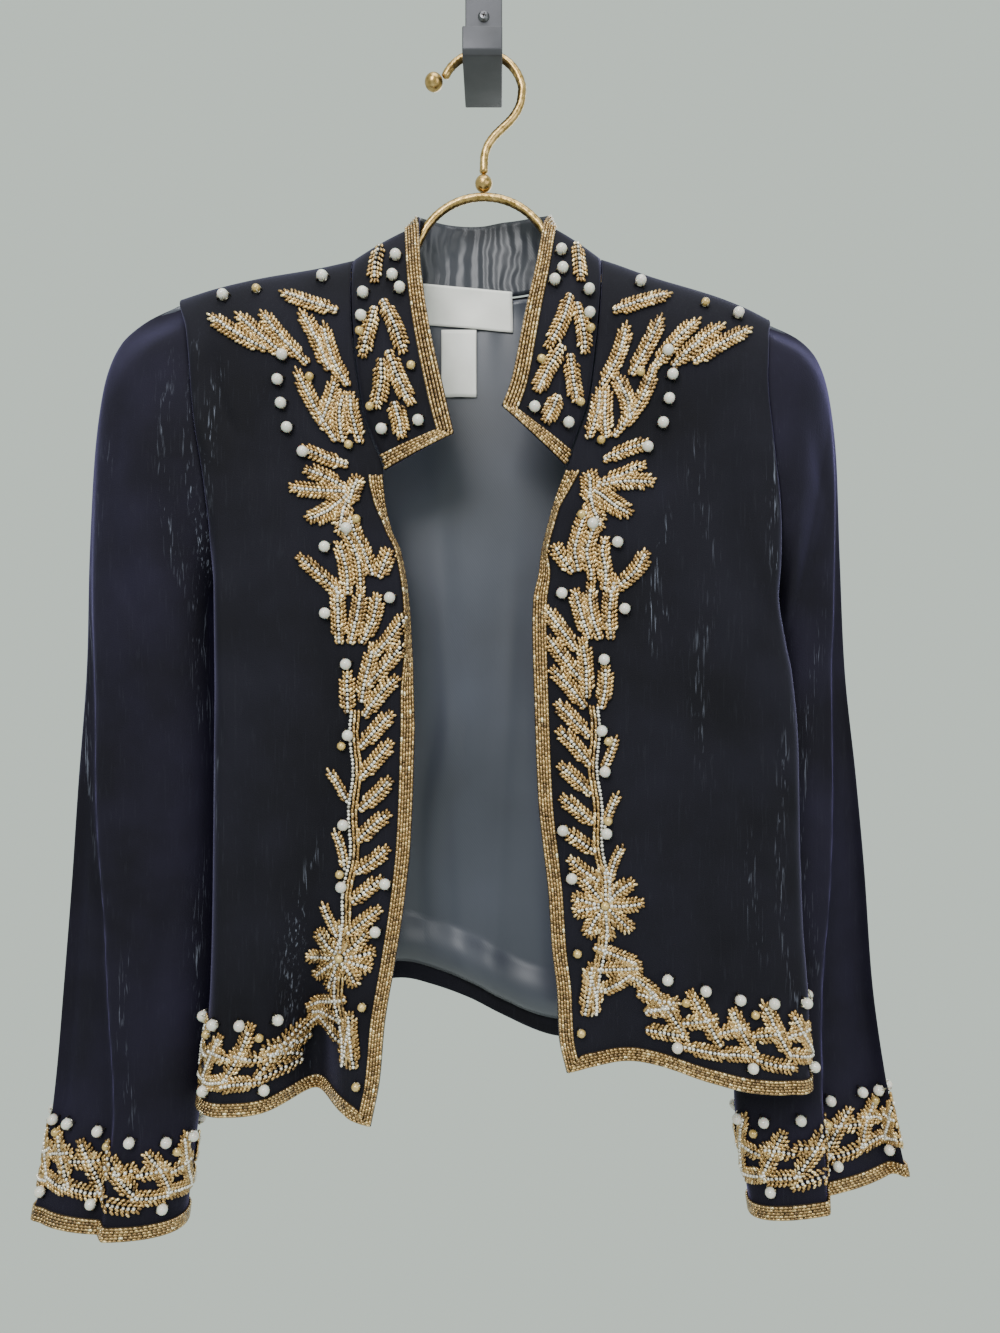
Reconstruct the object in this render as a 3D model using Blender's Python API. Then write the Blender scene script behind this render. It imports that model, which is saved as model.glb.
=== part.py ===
"""A cropped evening blazer of beaded velvet on a metal hanger and a wall hook.

Run with: blender --background --python part.py

Sizes are millimetres here and metres in the meshes. The origin is the centre of the wall
hook's back face, +X is the wearer's left, -Y is the way the jacket faces and +Z is up.
"down" is a depth below the origin, and "out" is a distance from the middle towards one side.

Every cloth piece is a surface worked out from short tables. Its wall has an outer face that
carries the raised beadwork, and a plain inner face.
"""
import math

import bmesh
import bpy
import numpy as np
from mathutils import Matrix, Vector
from mathutils.geometry import delaunay_2d_cdt

MM = 0.001
SEAM_GAP = 0.3
SHELL_WALL = 1.6
COLLAR_WALL = 2.0
LINING_WALL = 1.3
LINING_GAP = 2.2
LABEL_GAP = 0.8
LABEL_WALL = 1.0
TRIM_WALL = 1.9
TRIM_WIDTH = 9.5
TRIM_CLEAR = 2.0
CUFF_TRIM_GAP = 0.45
CAP_GAP = 0.5

RIDGE_Y = -42.0
FRONT_Y = -86.0
BACK_Y = -14.0
FRONT_ROLL = 60.0
BACK_ROLL = 48.0
NECK_DOWN = 170.0
NECK_DIP = 15.0
EDGE_ROLL = 11.0
RIDGE_GAP = 0.35
SIDE_GAP = 0.4
ROLL_ROWS = (1.5, 7.0, 18.0, 36.0)

LEAF_HEIGHT = 2.3
PEARL_HEIGHT = 5.6
LEAF_WIDTH = 9.0
RAISED_LENGTH = 25.8
PEARL_RADIUS = 4.0
HANDWORK_TURN = 5.0
HANDWORK_LENGTH = 0.05
BEAD_EDGE_CLEAR = 1.6
BEAD_CLEAR = 1.5
ROW_CLEAR = 3.5
GRID_CLEAR = 6.0
INNER_SPACING = 1.4

RIGHT = -1
LEFT = 1


class Table:
    """Rows of named columns, read at any key on a smooth curve that never overshoots a row."""

    def __init__(self, names, rows):
        data = np.array(rows, dtype=float)
        self.keys = data[:, 0]
        self.columns = {name: data[:, i + 1] for i, name in enumerate(names)}
        self.slopes = {name: self.find_slopes(col) for name, col in self.columns.items()}

    def find_slopes(self, column):
        steps = np.diff(column) / np.diff(self.keys)
        slopes = np.concatenate([steps[:1], (steps[:-1] + steps[1:]) / 2, steps[-1:]])
        for i in range(1, len(column) - 1):
            before, after = steps[i - 1], steps[i]
            if before * after <= 0:
                slopes[i] = 0.0
            else:
                slopes[i] = 2 * before * after / (before + after)
        return slopes

    def at(self, name, key):
        keys = self.keys
        key = np.clip(key, keys[0], keys[-1])
        i = np.clip(np.searchsorted(keys, key, side="right") - 1, 0, len(keys) - 2)
        span = keys[i + 1] - keys[i]
        t = (key - keys[i]) / span
        col, slope = self.columns[name], self.slopes[name]
        start = col[i] * (1 + 2 * t) * (1 - t) ** 2 + slope[i] * span * t * (1 - t) ** 2
        end = col[i + 1] * t * t * (3 - 2 * t) + slope[i + 1] * span * t * t * (t - 1)
        return start + end


# The line of each shoulder, read outwards from the neck point.
SHOULDER = {
    RIGHT: Table(["down"], [(0, 150), (88, 170), (113, 175.5), (151, 182), (180, 188.7), (206, 197)]),
    LEFT: Table(["down"], [(0, 150), (80, 169), (115, 181), (158, 194), (177, 201.4), (196, 211)]),
}
SHOULDER_OUT = {RIGHT: 206.0, LEFT: 196.0}
SHOULDER_DOWN = {RIGHT: 197.0, LEFT: 211.0}
NECK_OUT = {RIGHT: 88.0, LEFT: 81.0}
UNDERARM_DOWN = {RIGHT: 402.0, LEFT: 402.0}
NOTCH_DOWN = {RIGHT: 322.0, LEFT: 319.0}
HEM_CORNER_DOWN = {RIGHT: 747.0, LEFT: 712.5}

# Neck edge, then front edge, of each front. roll is how far the edge turns back, in degrees.
EDGE = {
    RIGHT: Table(
        ["out", "roll"],
        [
            (170, 88, 0), (206, 86, 0), (236, 84, 0), (276, 79, 0), (300, 72, 0),
            (322, 64, 0), (340, 64, 40), (359, 61, 72), (373, 55, 76), (401, 50, 76),
            (440, 47, 62), (464, 45, 30), (487, 43.5, 8), (516, 44, 0), (563, 46, 0),
            (601, 50, 0), (640, 56, 0), (682, 63, 0), (716, 66, 0), (747, 72, 0),
        ],
    ),
    LEFT: Table(
        ["out", "roll"],
        [
            (170, 81, 0), (206, 78, 0), (239, 75, 0), (276, 70, 0), (300, 62, 0),
            (319, 55, 0), (331, 51, 30), (347, 47, 66), (371, 41, 70), (388, 38, 40),
            (405, 33.5, 10), (420, 32.7, 0), (470, 34, 0), (535, 36.6, 0), (568, 40, 0),
            (594, 43, 0), (632, 45.5, 0), (659, 48.7, 0), (689, 50.2, 0), (713, 55.4, 0),
        ],
    ),
}

# Armhole and then side of the body. turn is the radius at the side, front_y and back_y are
# where the front and the back end there, and push is how far the sleeve behind moves the back.
SIDE = {
    RIGHT: Table(
        ["out", "turn", "front_y", "back_y", "push"],
        [
            (170, 206, 2, -42, -42, 0), (197, 206, 2, -42, -42, 0), (230, 194, 5, -78, -22, 0),
            (287, 188, 7, -83, -16, 0), (330, 182, 9, -80, -18, 0), (360, 180, 10, -73, -24, 0),
            (385, 180, 11, -61, -34, 0), (402, 181, 12, -48, -48, 0), (468, 181, 14, -48, -48, 0),
            (584, 182, 15, -48, -48, 0), (660, 184, 17, -48, -48, 0), (747, 193, 24, -50, -50, 0),
        ],
    ),
    LEFT: Table(
        ["out", "turn", "front_y", "back_y", "push"],
        [
            (170, 196, 2, -42, -42, 0), (211, 196, 2, -42, -42, 0), (235, 189, 5, -77, -22, 0),
            (261, 187, 6, -82, -17, 0), (296, 190, 7, -83, -16, 0), (350, 197, 9, -76, -22, 0),
            (385, 199, 10, -61, -36, 0), (402, 199, 11, -50, -50, 0), (432, 202, 12, -64, -64, 40),
            (453, 206, 12, -66, -66, 48), (504, 210, 12, -68, -68, 50), (560, 211, 12, -68, -68, 50),
            (616, 213, 12, -68, -68, 50), (674, 217, 12, -68, -68, 50), (740, 218, 12, -68, -68, 50),
        ],
    ),
}

# Depth of the hem of each front, read along the cloth from its front corner.
FRONT_HEM = {
    RIGHT: Table(["down"], [(0, 747), (8, 746), (22, 741), (42, 738), (64, 739), (90, 741), (190, 742)]),
    LEFT: Table(["down"], [(0, 712.5), (16, 710), (34, 709), (63, 711), (94, 719), (124, 726), (200, 729)]),
}

# Depth of the back's hem, read across from the wearer's right to left.
BACK_HEM = Table(
    ["down"],
    [
        (-240, 742), (-190, 741), (-150, 720), (-105, 688), (-62, 671), (-38, 677), (-10, 687),
        (12, 698), (34, 707), (56, 713), (120, 722), (217, 729), (260, 729),
    ],
)

# Soft vertical folds of each front: where, how wide, how deep, and the depths they run between.
FRONT_FOLDS = {
    RIGHT: [
        {"out": 112, "lean": 0.02, "width": 19, "deep": 40, "from": 590, "to": 742},
        {"out": 150, "lean": 0.03, "width": 12, "deep": 2.5, "from": 300, "to": 620},
        {"out": 128, "lean": -0.10, "width": 9, "deep": 2.0, "from": 250, "to": 450},
    ],
    LEFT: [
        {"out": 100, "lean": 0.0, "width": 27, "deep": 13, "from": 560, "to": 712},
        {"out": 160, "lean": 0.04, "width": 13, "deep": 3.0, "from": 270, "to": 640},
        {"out": 190, "lean": 0.05, "width": 9, "deep": 3.5, "from": 420, "to": 700},
    ],
}
BACK_FOLDS = [
    {"out": -120, "lean": 0.04, "width": 22, "deep": 7, "from": 430, "to": 700},
    {"out": -52, "lean": -0.03, "width": 16, "deep": 5, "from": 300, "to": 660},
    {"out": 30, "lean": 0.05, "width": 20, "deep": 6, "from": 360, "to": 700},
    {"out": 96, "lean": 0.02, "width": 17, "deep": 7, "from": 420, "to": 720},
]

# Free edge of the collar, from the wearer's right notch round the neck to the left one.
COLLAR_EDGE = Table(
    ["x", "y", "down"],
    [
        (0.00, -17.6, -94, 299), (0.10, -24, -93, 271), (0.20, -34, -89, 226), (0.28, -39.5, -80, 190),
        (0.34, -43, -58, 147), (0.37, -44.5, -42, 137), (0.41, -36, -26, 133), (0.45, -22, -18, 133),
        (0.50, -2, -14, 132), (0.55, 17, -17, 130), (0.59, 34, -26, 131), (0.63, 45.5, -42, 136),
        (0.66, 42, -58, 146), (0.72, 36, -77, 182),
        (0.80, 28, -87, 219), (0.90, 19, -92, 264), (1.00, 13, -94, 281),
    ],
)
COLLAR_NECK = (0.34, 0.66)
COLLAR_LENGTH = 440.0
COLLAR_WIDTH = 50.0
COLLAR_BULGE = 3.0
COLLAR_FOOT = 1.2

# Rings of each sleeve, from the armhole to the cuff. The outer line falls from the shoulder and
# the inner line from the underarm. step is how far the part outside the crease lies back.
SLEEVE = {
    RIGHT: Table(
        ["outer", "outer_down", "inner", "inner_down", "middle_y", "half", "crease", "step"],
        [
            (0.00, 206, 197, 181, 402, -46, 34, 0.9, 0), (0.04, 232, 210, 182.4, 414, -45, 36, 0.9, 0),
            (0.08, 249, 227, 182.6, 430, -44, 37, 0.9, 0), (0.13, 259, 256, 182.6, 452, -43, 37, 0.88, 0),
            (0.20, 266, 306, 182.6, 482, -43, 36, 0.86, 2), (0.30, 270, 372, 182.8, 520, -43, 34, 0.84, 5),
            (0.42, 273, 450, 183.2, 566, -42, 32, 0.75, 9), (0.54, 279, 528, 184.2, 612, -42, 31, 0.60, 12),
            (0.65, 284, 598, 185.6, 656, -42, 29, 0.42, 14), (0.77, 290, 674, 190.6, 706, -42, 28, 0.22, 14),
            (0.88, 296, 746, 197, 758, -43, 28, 0.02, 13), (1.00, 308, 827, 205, 830, -46, 29, -0.06, 9),
        ],
    ),
    LEFT: Table(
        ["outer", "outer_down", "inner", "inner_down", "middle_y", "half", "crease", "step"],
        [
            (0.00, 196, 211, 199, 402, -46, 34, 0.9, 0), (0.04, 218, 222, 202, 413, -43, 32, 0.9, 0),
            (0.08, 231, 236, 203.5, 427, -40, 29, 0.9, 0), (0.13, 240, 262, 205.5, 447, -38, 25, 0.86, 2),
            (0.20, 246, 305, 204, 476, -36, 23, 0.80, 4), (0.30, 249, 372, 196, 516, -35, 22, 0.72, 7),
            (0.42, 253, 450, 184, 562, -34, 22, 0.64, 11), (0.54, 261, 526, 178, 606, -34, 22, 0.52, 14),
            (0.65, 267, 592, 176, 648, -34, 22, 0.38, 17), (0.77, 272, 664, 175, 698, -34, 22, 0.22, 19),
            (0.88, 281, 735, 176, 752, -36, 23, 0.10, 21), (1.00, 295, 803, 187, 828, -38, 25, -0.10, 22),
        ],
    ),
}
SLEEVE_ROUND = 250.0
SLEEVE_LENGTH = {RIGHT: 620.0, LEFT: 600.0}
CAP_SHARE = 0.13

# Single pearls of each front: length from the free edge, and depth under the notch or over the corner.
PEARLS_UNDER_NOTCH = ((62, 58), (68, 88), (20, 104), (17, 196), (53, 232))
PEARLS_OVER_CORNER = ((17, 92), (52, 150), (18, 146), (57, 96))

LINING_OUT = 117.0
LINING_SHORT = 13.0
LINING_WAVE = 0.4
NECK_LABEL = {"start": -44.0, "end": 21.0, "top": 174.0, "tall": 30.0, "slope": 0.09}
CARE_LABEL = {"start": -30.0, "end": -5.0, "top": 208.0, "foot": 256.0}

HANGER_ROD = 3.0
ARCH_MIDDLE = (0.8, 171.3)
ARCH_RADIUS = 48.2
ARCH_TURN = (156.0, 24.0)
HOOK_MIDDLE = (-0.6, 51.4)
HOOK_RADIUS = 28.1
HOOK_TURN = (158.0, 8.0)
HANGER_Y = RIDGE_Y
ARM_UNDER_CLOTH = 1.4
BALL_RADIUS = 6.0
END_BALL_RADIUS = 6.3
STEM_X = 0.6

WALL_HOOK_WIDTH = 27.0
PLATE_TOP = 42.0
PLATE_DOWN = 38.0
PLATE_THICK = 5.0
ARM_TOP_DOWN = 30.6
ARM_REACH = 66.0
LIP_TOP_DOWN = 19.5
LIP_THICK = 4.0
SCREW_DOWN = -26.0
SCREW_RADIUS = 4.2
SCREW_HEAD = 1.8


def smooth_step(value):
    """A ramp from 0 to 1 with level ends."""
    value = np.clip(value, 0.0, 1.0)
    return value * value * (3 - 2 * value)


def fold_depth(folds, out, down):
    """How far soft folds push the cloth inwards at each place."""
    depth = np.zeros(np.broadcast(out, down).shape)
    for fold in folds:
        middle = fold["out"] + fold["lean"] * (down - fold["from"])
        length = fold["to"] - fold["from"]
        fade = smooth_step((down - fold["from"]) / (0.9 * length))
        fade = fade * smooth_step((fold["to"] + 0.35 * length - down) / (0.35 * length))
        depth = depth + fold["deep"] * fade * np.exp(-(((out - middle) / fold["width"]) ** 2))
    return depth


def rounded(share):
    """The quarter round that cloth takes over an edge, 0 to 1."""
    share = np.clip(share, 0.0, 1.0)
    return np.sqrt(np.maximum(1 - (1 - share) ** 2, 0.0))


def seam_y(side, name, down):
    """Where a front or a back ends: on the armhole, and below it on the one side seam."""
    return np.where(down > UNDERARM_DOWN[side], SIDE[side].at("back_y", down), SIDE[side].at(name, down))


def turn_length(turn, depth):
    """Length of the quarter round at a body's side."""
    return math.pi / 2 * np.sqrt((turn ** 2 + depth ** 2) / 2)


def front_plane_y(side, out, down):
    """Depth of the flat part of a front, with the roll over the shoulder and the folds."""
    below = down - SHOULDER[side].at("down", out)
    flat = RIDGE_Y - RIDGE_GAP + (FRONT_Y - RIDGE_Y) * rounded(below / FRONT_ROLL)
    return flat + fold_depth(FRONT_FOLDS[side], out, down)


def front_flat(side, down):
    """Length of a front's level part at one depth."""
    roll = np.radians(EDGE[side].at("roll", down))
    spare = EDGE_ROLL * (1 - np.cos(roll))
    return SIDE[side].at("out", down) - SIDE[side].at("turn", down) - EDGE[side].at("out", down) + spare


def front_width(side, down):
    """Length along a front from its free edge to the armhole or side seam."""
    depth = np.abs(seam_y(side, "front_y", down) - FRONT_Y)
    return front_flat(side, down) + turn_length(SIDE[side].at("turn", down), depth)


def front_surface(side):
    """The right or left front: s runs from the free edge, down is depth."""

    def place(s, down):
        s, down = np.broadcast_arrays(np.asarray(s, float), np.asarray(down, float))
        roll = np.radians(EDGE[side].at("roll", down))
        flat = front_flat(side, down)
        turn = SIDE[side].at("turn", down)
        depth = np.abs(seam_y(side, "front_y", down) - FRONT_Y)
        level = np.minimum(s, flat)
        rolled = np.clip(level, None, EDGE_ROLL)
        out = EDGE[side].at("out", down) + rolled * np.cos(roll) + np.maximum(level - EDGE_ROLL, 0.0)
        y = front_plane_y(side, out, down) + (EDGE_ROLL - rolled) * np.sin(roll)
        angle = np.clip((s - flat) / turn_length(turn, depth), 0.0, 1.0) * math.pi / 2
        end_y = np.maximum(seam_y(side, "front_y", down), y)
        out = out + turn * np.sin(angle)
        y = y + (end_y - y) * (1 - np.cos(angle))
        return np.stack([side * out, y, -down], axis=-1)

    return Surface(place, -side)


def back_surface():
    """The back: x runs across along the cloth, down is depth."""

    def place(x, down):
        x, down = np.broadcast_arrays(np.asarray(x, float), np.asarray(down, float))
        points = np.zeros(x.shape + (3,))
        for side in (RIGHT, LEFT):
            away = np.maximum(side * x, 0.0)
            turn = SIDE[side].at("turn", down)
            end_y = SIDE[side].at("back_y", down)
            flat = SIDE[side].at("out", down) - turn
            out = np.minimum(away, flat)
            below = down - SHOULDER[side].at("down", out)
            y = RIDGE_Y + RIDGE_GAP + (BACK_Y - RIDGE_Y) * rounded(below / BACK_ROLL)
            y = y - SIDE[side].at("push", down) * smooth_step((out - 128) / 44)
            y = y - fold_depth(BACK_FOLDS, side * out, down)
            angle = np.clip((away - flat) / turn_length(turn, np.abs(end_y - BACK_Y)), 0, 1) * math.pi / 2
            end_y = np.minimum(end_y, y)
            y = y + (end_y - y) * (1 - np.cos(angle))
            own = np.stack([side * (out + turn * np.sin(angle)), y, -down], axis=-1)
            points = np.where((side * x >= 0)[..., None], own, points)
        return points

    return Surface(place, 1)


def back_width(side, down):
    """Length along the back from its middle to one armhole or side seam."""
    turn = SIDE[side].at("turn", down)
    depth = np.abs(SIDE[side].at("back_y", down) - BACK_Y)
    return SIDE[side].at("out", down) - turn + turn_length(turn, depth)


def neck_down(x):
    """Depth of the seam between the back and the collar."""
    side = RIGHT if x < 0 else LEFT
    return NECK_DOWN + NECK_DIP * (1 - (x / NECK_OUT[side]) ** 2)


class Surface:
    """A surface of two lengths, which can also be read at a height over it."""

    def __init__(self, place, facing):
        self.place = place
        self.facing = facing

    def at(self, u, v, height=0.0):
        step = 0.4
        points = self.place(u, v)
        along = self.place(np.asarray(u) + step, v) - self.place(np.asarray(u) - step, v)
        across = self.place(u, np.asarray(v) + step) - self.place(u, np.asarray(v) - step)
        normal = np.cross(along, across) * self.facing
        normal = normal / np.maximum(np.linalg.norm(normal, axis=-1, keepdims=True), 1e-9)
        return points + normal * np.asarray(height)[..., None]


def collar_seam(share):
    """Point of the collar's seam: down one front's neck edge, or across the back of the neck."""
    start, end = COLLAR_NECK
    if share <= start:
        down = NOTCH_DOWN[RIGHT] + (NECK_DOWN - NOTCH_DOWN[RIGHT]) * share / start
        return FRONTS[RIGHT].place(0.0, down)
    if share >= end:
        down = NECK_DOWN + (NOTCH_DOWN[LEFT] - NECK_DOWN) * (share - end) / (1 - end)
        return FRONTS[LEFT].place(0.0, down)
    x = -NECK_OUT[RIGHT] + (NECK_OUT[RIGHT] + NECK_OUT[LEFT]) * (share - start) / (end - start)
    return BACK.place(x, neck_down(x))


def collar_surface():
    """The collar: u runs round the neck and v from the seam to the free edge.

    Past its two ends the surface runs straight on, so it has a facing there too.
    """
    shares = np.linspace(0, 1, 121)
    seam = np.array([collar_seam(share) for share in shares])

    def place(u, v):
        u, v = np.broadcast_arrays(np.asarray(u, float), np.asarray(v, float))
        share = np.clip(u / COLLAR_LENGTH, 0.0, 1.0)
        rise = v / COLLAR_WIDTH
        low = np.stack([np.interp(share, shares, seam[:, i]) for i in range(3)], axis=-1)
        x, y, down = [COLLAR_EDGE.at(name, share) for name in ("x", "y", "down")]
        high = np.stack([x, y, -down], axis=-1)
        points = low + (high - low) * rise[..., None]
        on_front = low[..., 1] < RIDGE_Y - 10
        points[..., 1] -= np.where(on_front, COLLAR_BULGE * np.sin(math.pi * rise), 0.0)
        points[..., 0] += u - share * COLLAR_LENGTH
        return points

    return Surface(place, -1)


def armhole(side, angle):
    """Point of the armhole: the shoulder at 0, the underarm at pi, the front at positive angles."""
    start, end = SHOULDER_DOWN[side], UNDERARM_DOWN[side]
    down = start + (end - start) * (1 - np.cos(angle)) / 2
    front = FRONTS[side].place(front_width(side, down), down)
    back = BACK.place(side * back_width(side, down), down)
    return np.where((np.asarray(angle) >= 0)[..., None], front, back)


def sleeve_surface(side):
    """One sleeve: u runs round it from its inner line, v from the armhole to the cuff."""
    table = SLEEVE[side]

    def place(u, v):
        u, v = np.broadcast_arrays(np.asarray(u, float), np.asarray(v, float))
        angle = 2 * math.pi * u / SLEEVE_ROUND
        angle = np.where(angle > math.pi, angle - 2 * math.pi, angle)
        angle = np.where(angle < -math.pi, angle + 2 * math.pi, angle)
        share = v / SLEEVE_LENGTH[side]
        outer, inner = table.at("outer", share), table.at("inner", share)
        outer_down, inner_down = table.at("outer_down", share), table.at("inner_down", share)
        across = np.cos(angle)
        out = (outer + inner) / 2 + across * (outer - inner) / 2
        down = (outer_down + inner_down) / 2 + across * (outer_down - inner_down) / 2
        bulge = np.sign(np.sin(angle)) * np.abs(np.sin(angle)) ** 0.85
        y = table.at("middle_y", share) - bulge * table.at("half", share)
        back_off = smooth_step((across - table.at("crease", share)) / 0.16 + 0.5)
        facing = smooth_step(np.sin(angle) * 1.6)
        y = y + table.at("step", share) * back_off * facing
        ring = np.stack([side * out, y, -down], axis=-1)
        seam = armhole(side, angle)
        seam[..., 0] += side * CAP_GAP
        blend = smooth_step(share / CAP_SHARE)[..., None]
        start_out, start_down = ring_start(side, angle)
        drift = np.stack([side * (out - start_out), np.zeros_like(out), start_down - down], -1)
        return (seam + drift) * (1 - blend) + ring * blend

    return Surface(place, side)


def ring_start(side, angle):
    """Out and down of the first ring of a sleeve at an angle."""
    table = SLEEVE[side]
    across = np.cos(angle)
    outer, inner = table.at("outer", 0.0), table.at("inner", 0.0)
    outer_down, inner_down = table.at("outer_down", 0.0), table.at("inner_down", 0.0)
    out = (outer + inner) / 2 + across * (outer - inner) / 2
    down = (outer_down + inner_down) / 2 + across * (outer_down - inner_down) / 2
    return out, down


FRONTS = {side: front_surface(side) for side in (RIGHT, LEFT)}
BACK = back_surface()
COLLAR = collar_surface()
SLEEVES = {side: sleeve_surface(side) for side in (RIGHT, LEFT)}


def vary(number):
    """A steady but uneven value from -1 to 1 for each number, for handwork that isn't quite regular."""
    return 2 * math.modf(abs(math.sin(number * 12.9898) * 437.585))[0] - 1


class Beadwork:
    """Leaves and pearls laid out on one piece, in that piece's two lengths."""

    def __init__(self):
        self.leaves = []
        self.pearls = []
        self.count = 0

    def leaf(self, u, v, angle, length):
        """A leaf from its foot at u, v; angle 0 points along u and 90 along v.

        Only leaves of some length are thick enough to be raised in the wall.
        """
        self.count += 1
        turn = math.radians(angle + HANDWORK_TURN * vary(self.count))
        own = length * (1 + HANDWORK_LENGTH * vary(self.count + 0.5))
        if own > RAISED_LENGTH:
            self.leaves.append((u, v, turn, own, LEAF_WIDTH))

    def pearl(self, u, v):
        self.pearls.append((u, v, PEARL_RADIUS))

    def fan(self, u, v, first, last, count, length, hole=3.0):
        """Leaves from one middle, longest at the middle of the fan."""
        for i in range(count):
            share = i / max(count - 1, 1)
            angle = first + (last - first) * share
            turn = math.radians(angle)
            own = length * (0.84 + 0.16 * math.sin(math.pi * share))
            self.leaf(u + hole * math.cos(turn), v + hole * math.sin(turn), angle, own)

    def height(self, u, v):
        """Height of the beadwork over the cloth at each place."""
        top = np.zeros(np.shape(u))
        for lu, lv, angle, length, width in self.leaves:
            t = ((u - lu) * math.cos(angle) + (v - lv) * math.sin(angle)) / length
            q = -(u - lu) * math.sin(angle) + (v - lv) * math.cos(angle)
            inside = (t > 0) & (t < 1)
            half = width / 2 * np.sin(math.pi * np.clip(t, 0.001, 0.999)) ** 0.6
            rise = LEAF_HEIGHT * np.clip(1 - (q / half) ** 2, 0, 1) * np.minimum(1, 4 * np.minimum(t, 1 - t))
            top = np.maximum(top, np.where(inside, rise, 0.0))
        for pu, pv, radius in self.pearls:
            r = np.hypot(u - pu, v - pv) / radius
            top = np.maximum(top, PEARL_HEIGHT * np.sqrt(np.clip(1 - r ** 2, 0, 1)))
        return top

    def points(self):
        """Places that give each leaf its outline and ridge, and each pearl its dome."""
        places = []
        for lu, lv, angle, length, width in self.leaves:
            along = np.array([math.cos(angle), math.sin(angle)])
            over = np.array([-along[1], along[0]])
            foot = np.array([lu, lv])
            places.append(foot)
            places.append(foot + along * length)
            for t in (0.28, 0.72):
                half = width / 2 * math.sin(math.pi * t) ** 0.6
                for q in (-1.02, 0.0, 1.02):
                    places.append(foot + along * length * t + over * half * q)
        for pu, pv, radius in self.pearls:
            middle = np.array([pu, pv])
            places.append(middle)
            for count, reach in ((6, 1.02), (5, 0.72)):
                for i in range(count):
                    turn = 2 * math.pi * i / count
                    places.append(middle + np.array([math.cos(turn), math.sin(turn)]) * radius * reach)
        return np.array(places).reshape(-1, 2)


def front_beadwork(side):
    """Beadwork of one front, in lengths from its free edge and depths."""
    work = Beadwork()
    add_shoulder_beadwork(work, side)
    notch, corner = NOTCH_DOWN[side], HEM_CORNER_DOWN[side]
    work.fan(12, notch - 6, -84, 84, 9, 34)
    work.fan(12, notch - 6, -80, -20, 5, 32, 37)
    work.fan(12, notch - 6, 22, 62, 3, 26, 37)
    work.fan(14, notch + 72, -112, -18, 6, 33)
    work.leaf(50, notch + 66, 42, 27)
    work.leaf(40, notch + 80, 62, 26)
    work.fan(27, notch + 122, -128, -48, 5, 34)
    top, end = notch + 122, corner - 136
    count = 12
    for i in range(count):
        down = top + 10 + (end - top) * (i + 0.6) / count
        work.leaf(32, down, -141, 29 - 0.5 * (i % 3))
        if i % 2 == 0:
            work.leaf(35, down - 2, -48, 23)
    star = corner - 112
    work.fan(32, star, -180, 140, 9, 23)
    for i in range(3):
        work.leaf(24 + 5 * (i % 2), star + 25 + 22 * i, 78 + 14 * (i % 2), 26)
    hem_band(work, 34, float(front_width(side, corner)) - 6, lambda s: float(FRONT_HEM[side].at("down", s)))
    for i in range(5):
        work.pearl(74 + 3.5 * i * (3 - i) / 2, notch - 76 + 16.5 * i)
    for s, drop in PEARLS_UNDER_NOTCH:
        work.pearl(s, notch + drop)
    for s, rise in PEARLS_OVER_CORNER:
        work.pearl(s, corner - rise)
    return work


def add_shoulder_beadwork(work, side):
    """Leaves that fall from one shoulder to its chest, and pearls along the shoulder."""
    shoulder = SHOULDER[side]
    for i in range(6):
        out = 100 + 13 * i
        down = float(shoulder.at("down", out)) + 52 - 3 * i
        work.leaf(out - NECK_OUT[side] + 3, down, -46 + 3 * i, 43 - 2 * i)
    for i in range(4):
        work.leaf(14 + 11 * i, NECK_DOWN + 46 + 5 * i, -74 + 8 * i, 31)
    for i in range(3):
        work.leaf(13 + 9 * i, NECK_DOWN + 92 + 3 * i, -88 + 14 * i, 33)
    for i in range(4):
        out = NECK_OUT[side] + 16 + 24 * i
        work.pearl(out - NECK_OUT[side], float(shoulder.at("down", out)) + 9)


def hem_band(work, start, end, hem_down, lift=0.0):
    """A running garland of leaves over a hem, with pearls under it and over it."""
    pitch = 13.0
    for i in range(int((end - start) / pitch)):
        s = start + pitch * (i + 0.5)
        down = hem_down(s) - lift
        work.leaf(s - 7, down - 23 + 3 * vary(i), -30, 27)
        if i % 2 == 0:
            work.leaf(s + 2, down - 40, -66, 24)
        else:
            work.leaf(s, down - 23, 12, 20)
        if i % 3 == 1:
            work.pearl(s + 5, down - 16)
            work.pearl(s - 3, down - 66)


def collar_beadwork():
    """Chevrons of leaves that climb each side of the collar, and pearls at the neck."""
    work = Beadwork()
    front = COLLAR_NECK[0] * COLLAR_LENGTH
    for end in (RIGHT, LEFT):
        def along(distance, end=end):
            return distance if end == RIGHT else COLLAR_LENGTH - distance
        heading = 0 if end == RIGHT else 180
        lean = 1 if end == RIGHT else -1
        for i in range(4):
            work.leaf(along(22 + 27 * i), 19, heading - lean * 24, 29)
            work.leaf(along(22 + 27 * i), 23, heading + lean * 24, 29)
        work.leaf(along(front - 20), 17, heading - lean * 8, 28)
        work.leaf(along(front - 8), 29, heading + lean * 8, 26)
        for i, across in enumerate((9, 33, 10, 31)):
            work.pearl(along(front - 28 + 15 * i), across)
        work.pearl(along(17), 31)
    return work


def cuff_beadwork(side):
    """The band of leaves round a cuff."""
    work = Beadwork()
    half = SLEEVE_ROUND / 2
    hem_band(work, -half + 9, half - 5, lambda s: SLEEVE_LENGTH[side], 3.0)
    return work


def back_beadwork():
    """The hem band of the back, and what comes over the shoulders from the fronts."""
    work = Beadwork()
    for side in (RIGHT, LEFT):
        for i in range(4):
            out = NECK_OUT[side] + 14 + 21 * i
            work.pearl(side * out, float(SHOULDER[side].at("down", out)) + 7)
    start = -float(back_width(RIGHT, 720)) + 10
    end = float(back_width(LEFT, 720)) - 8
    hem_band(work, start, end, lambda s: float(BACK_HEM.at("down", s)))
    return work


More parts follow.
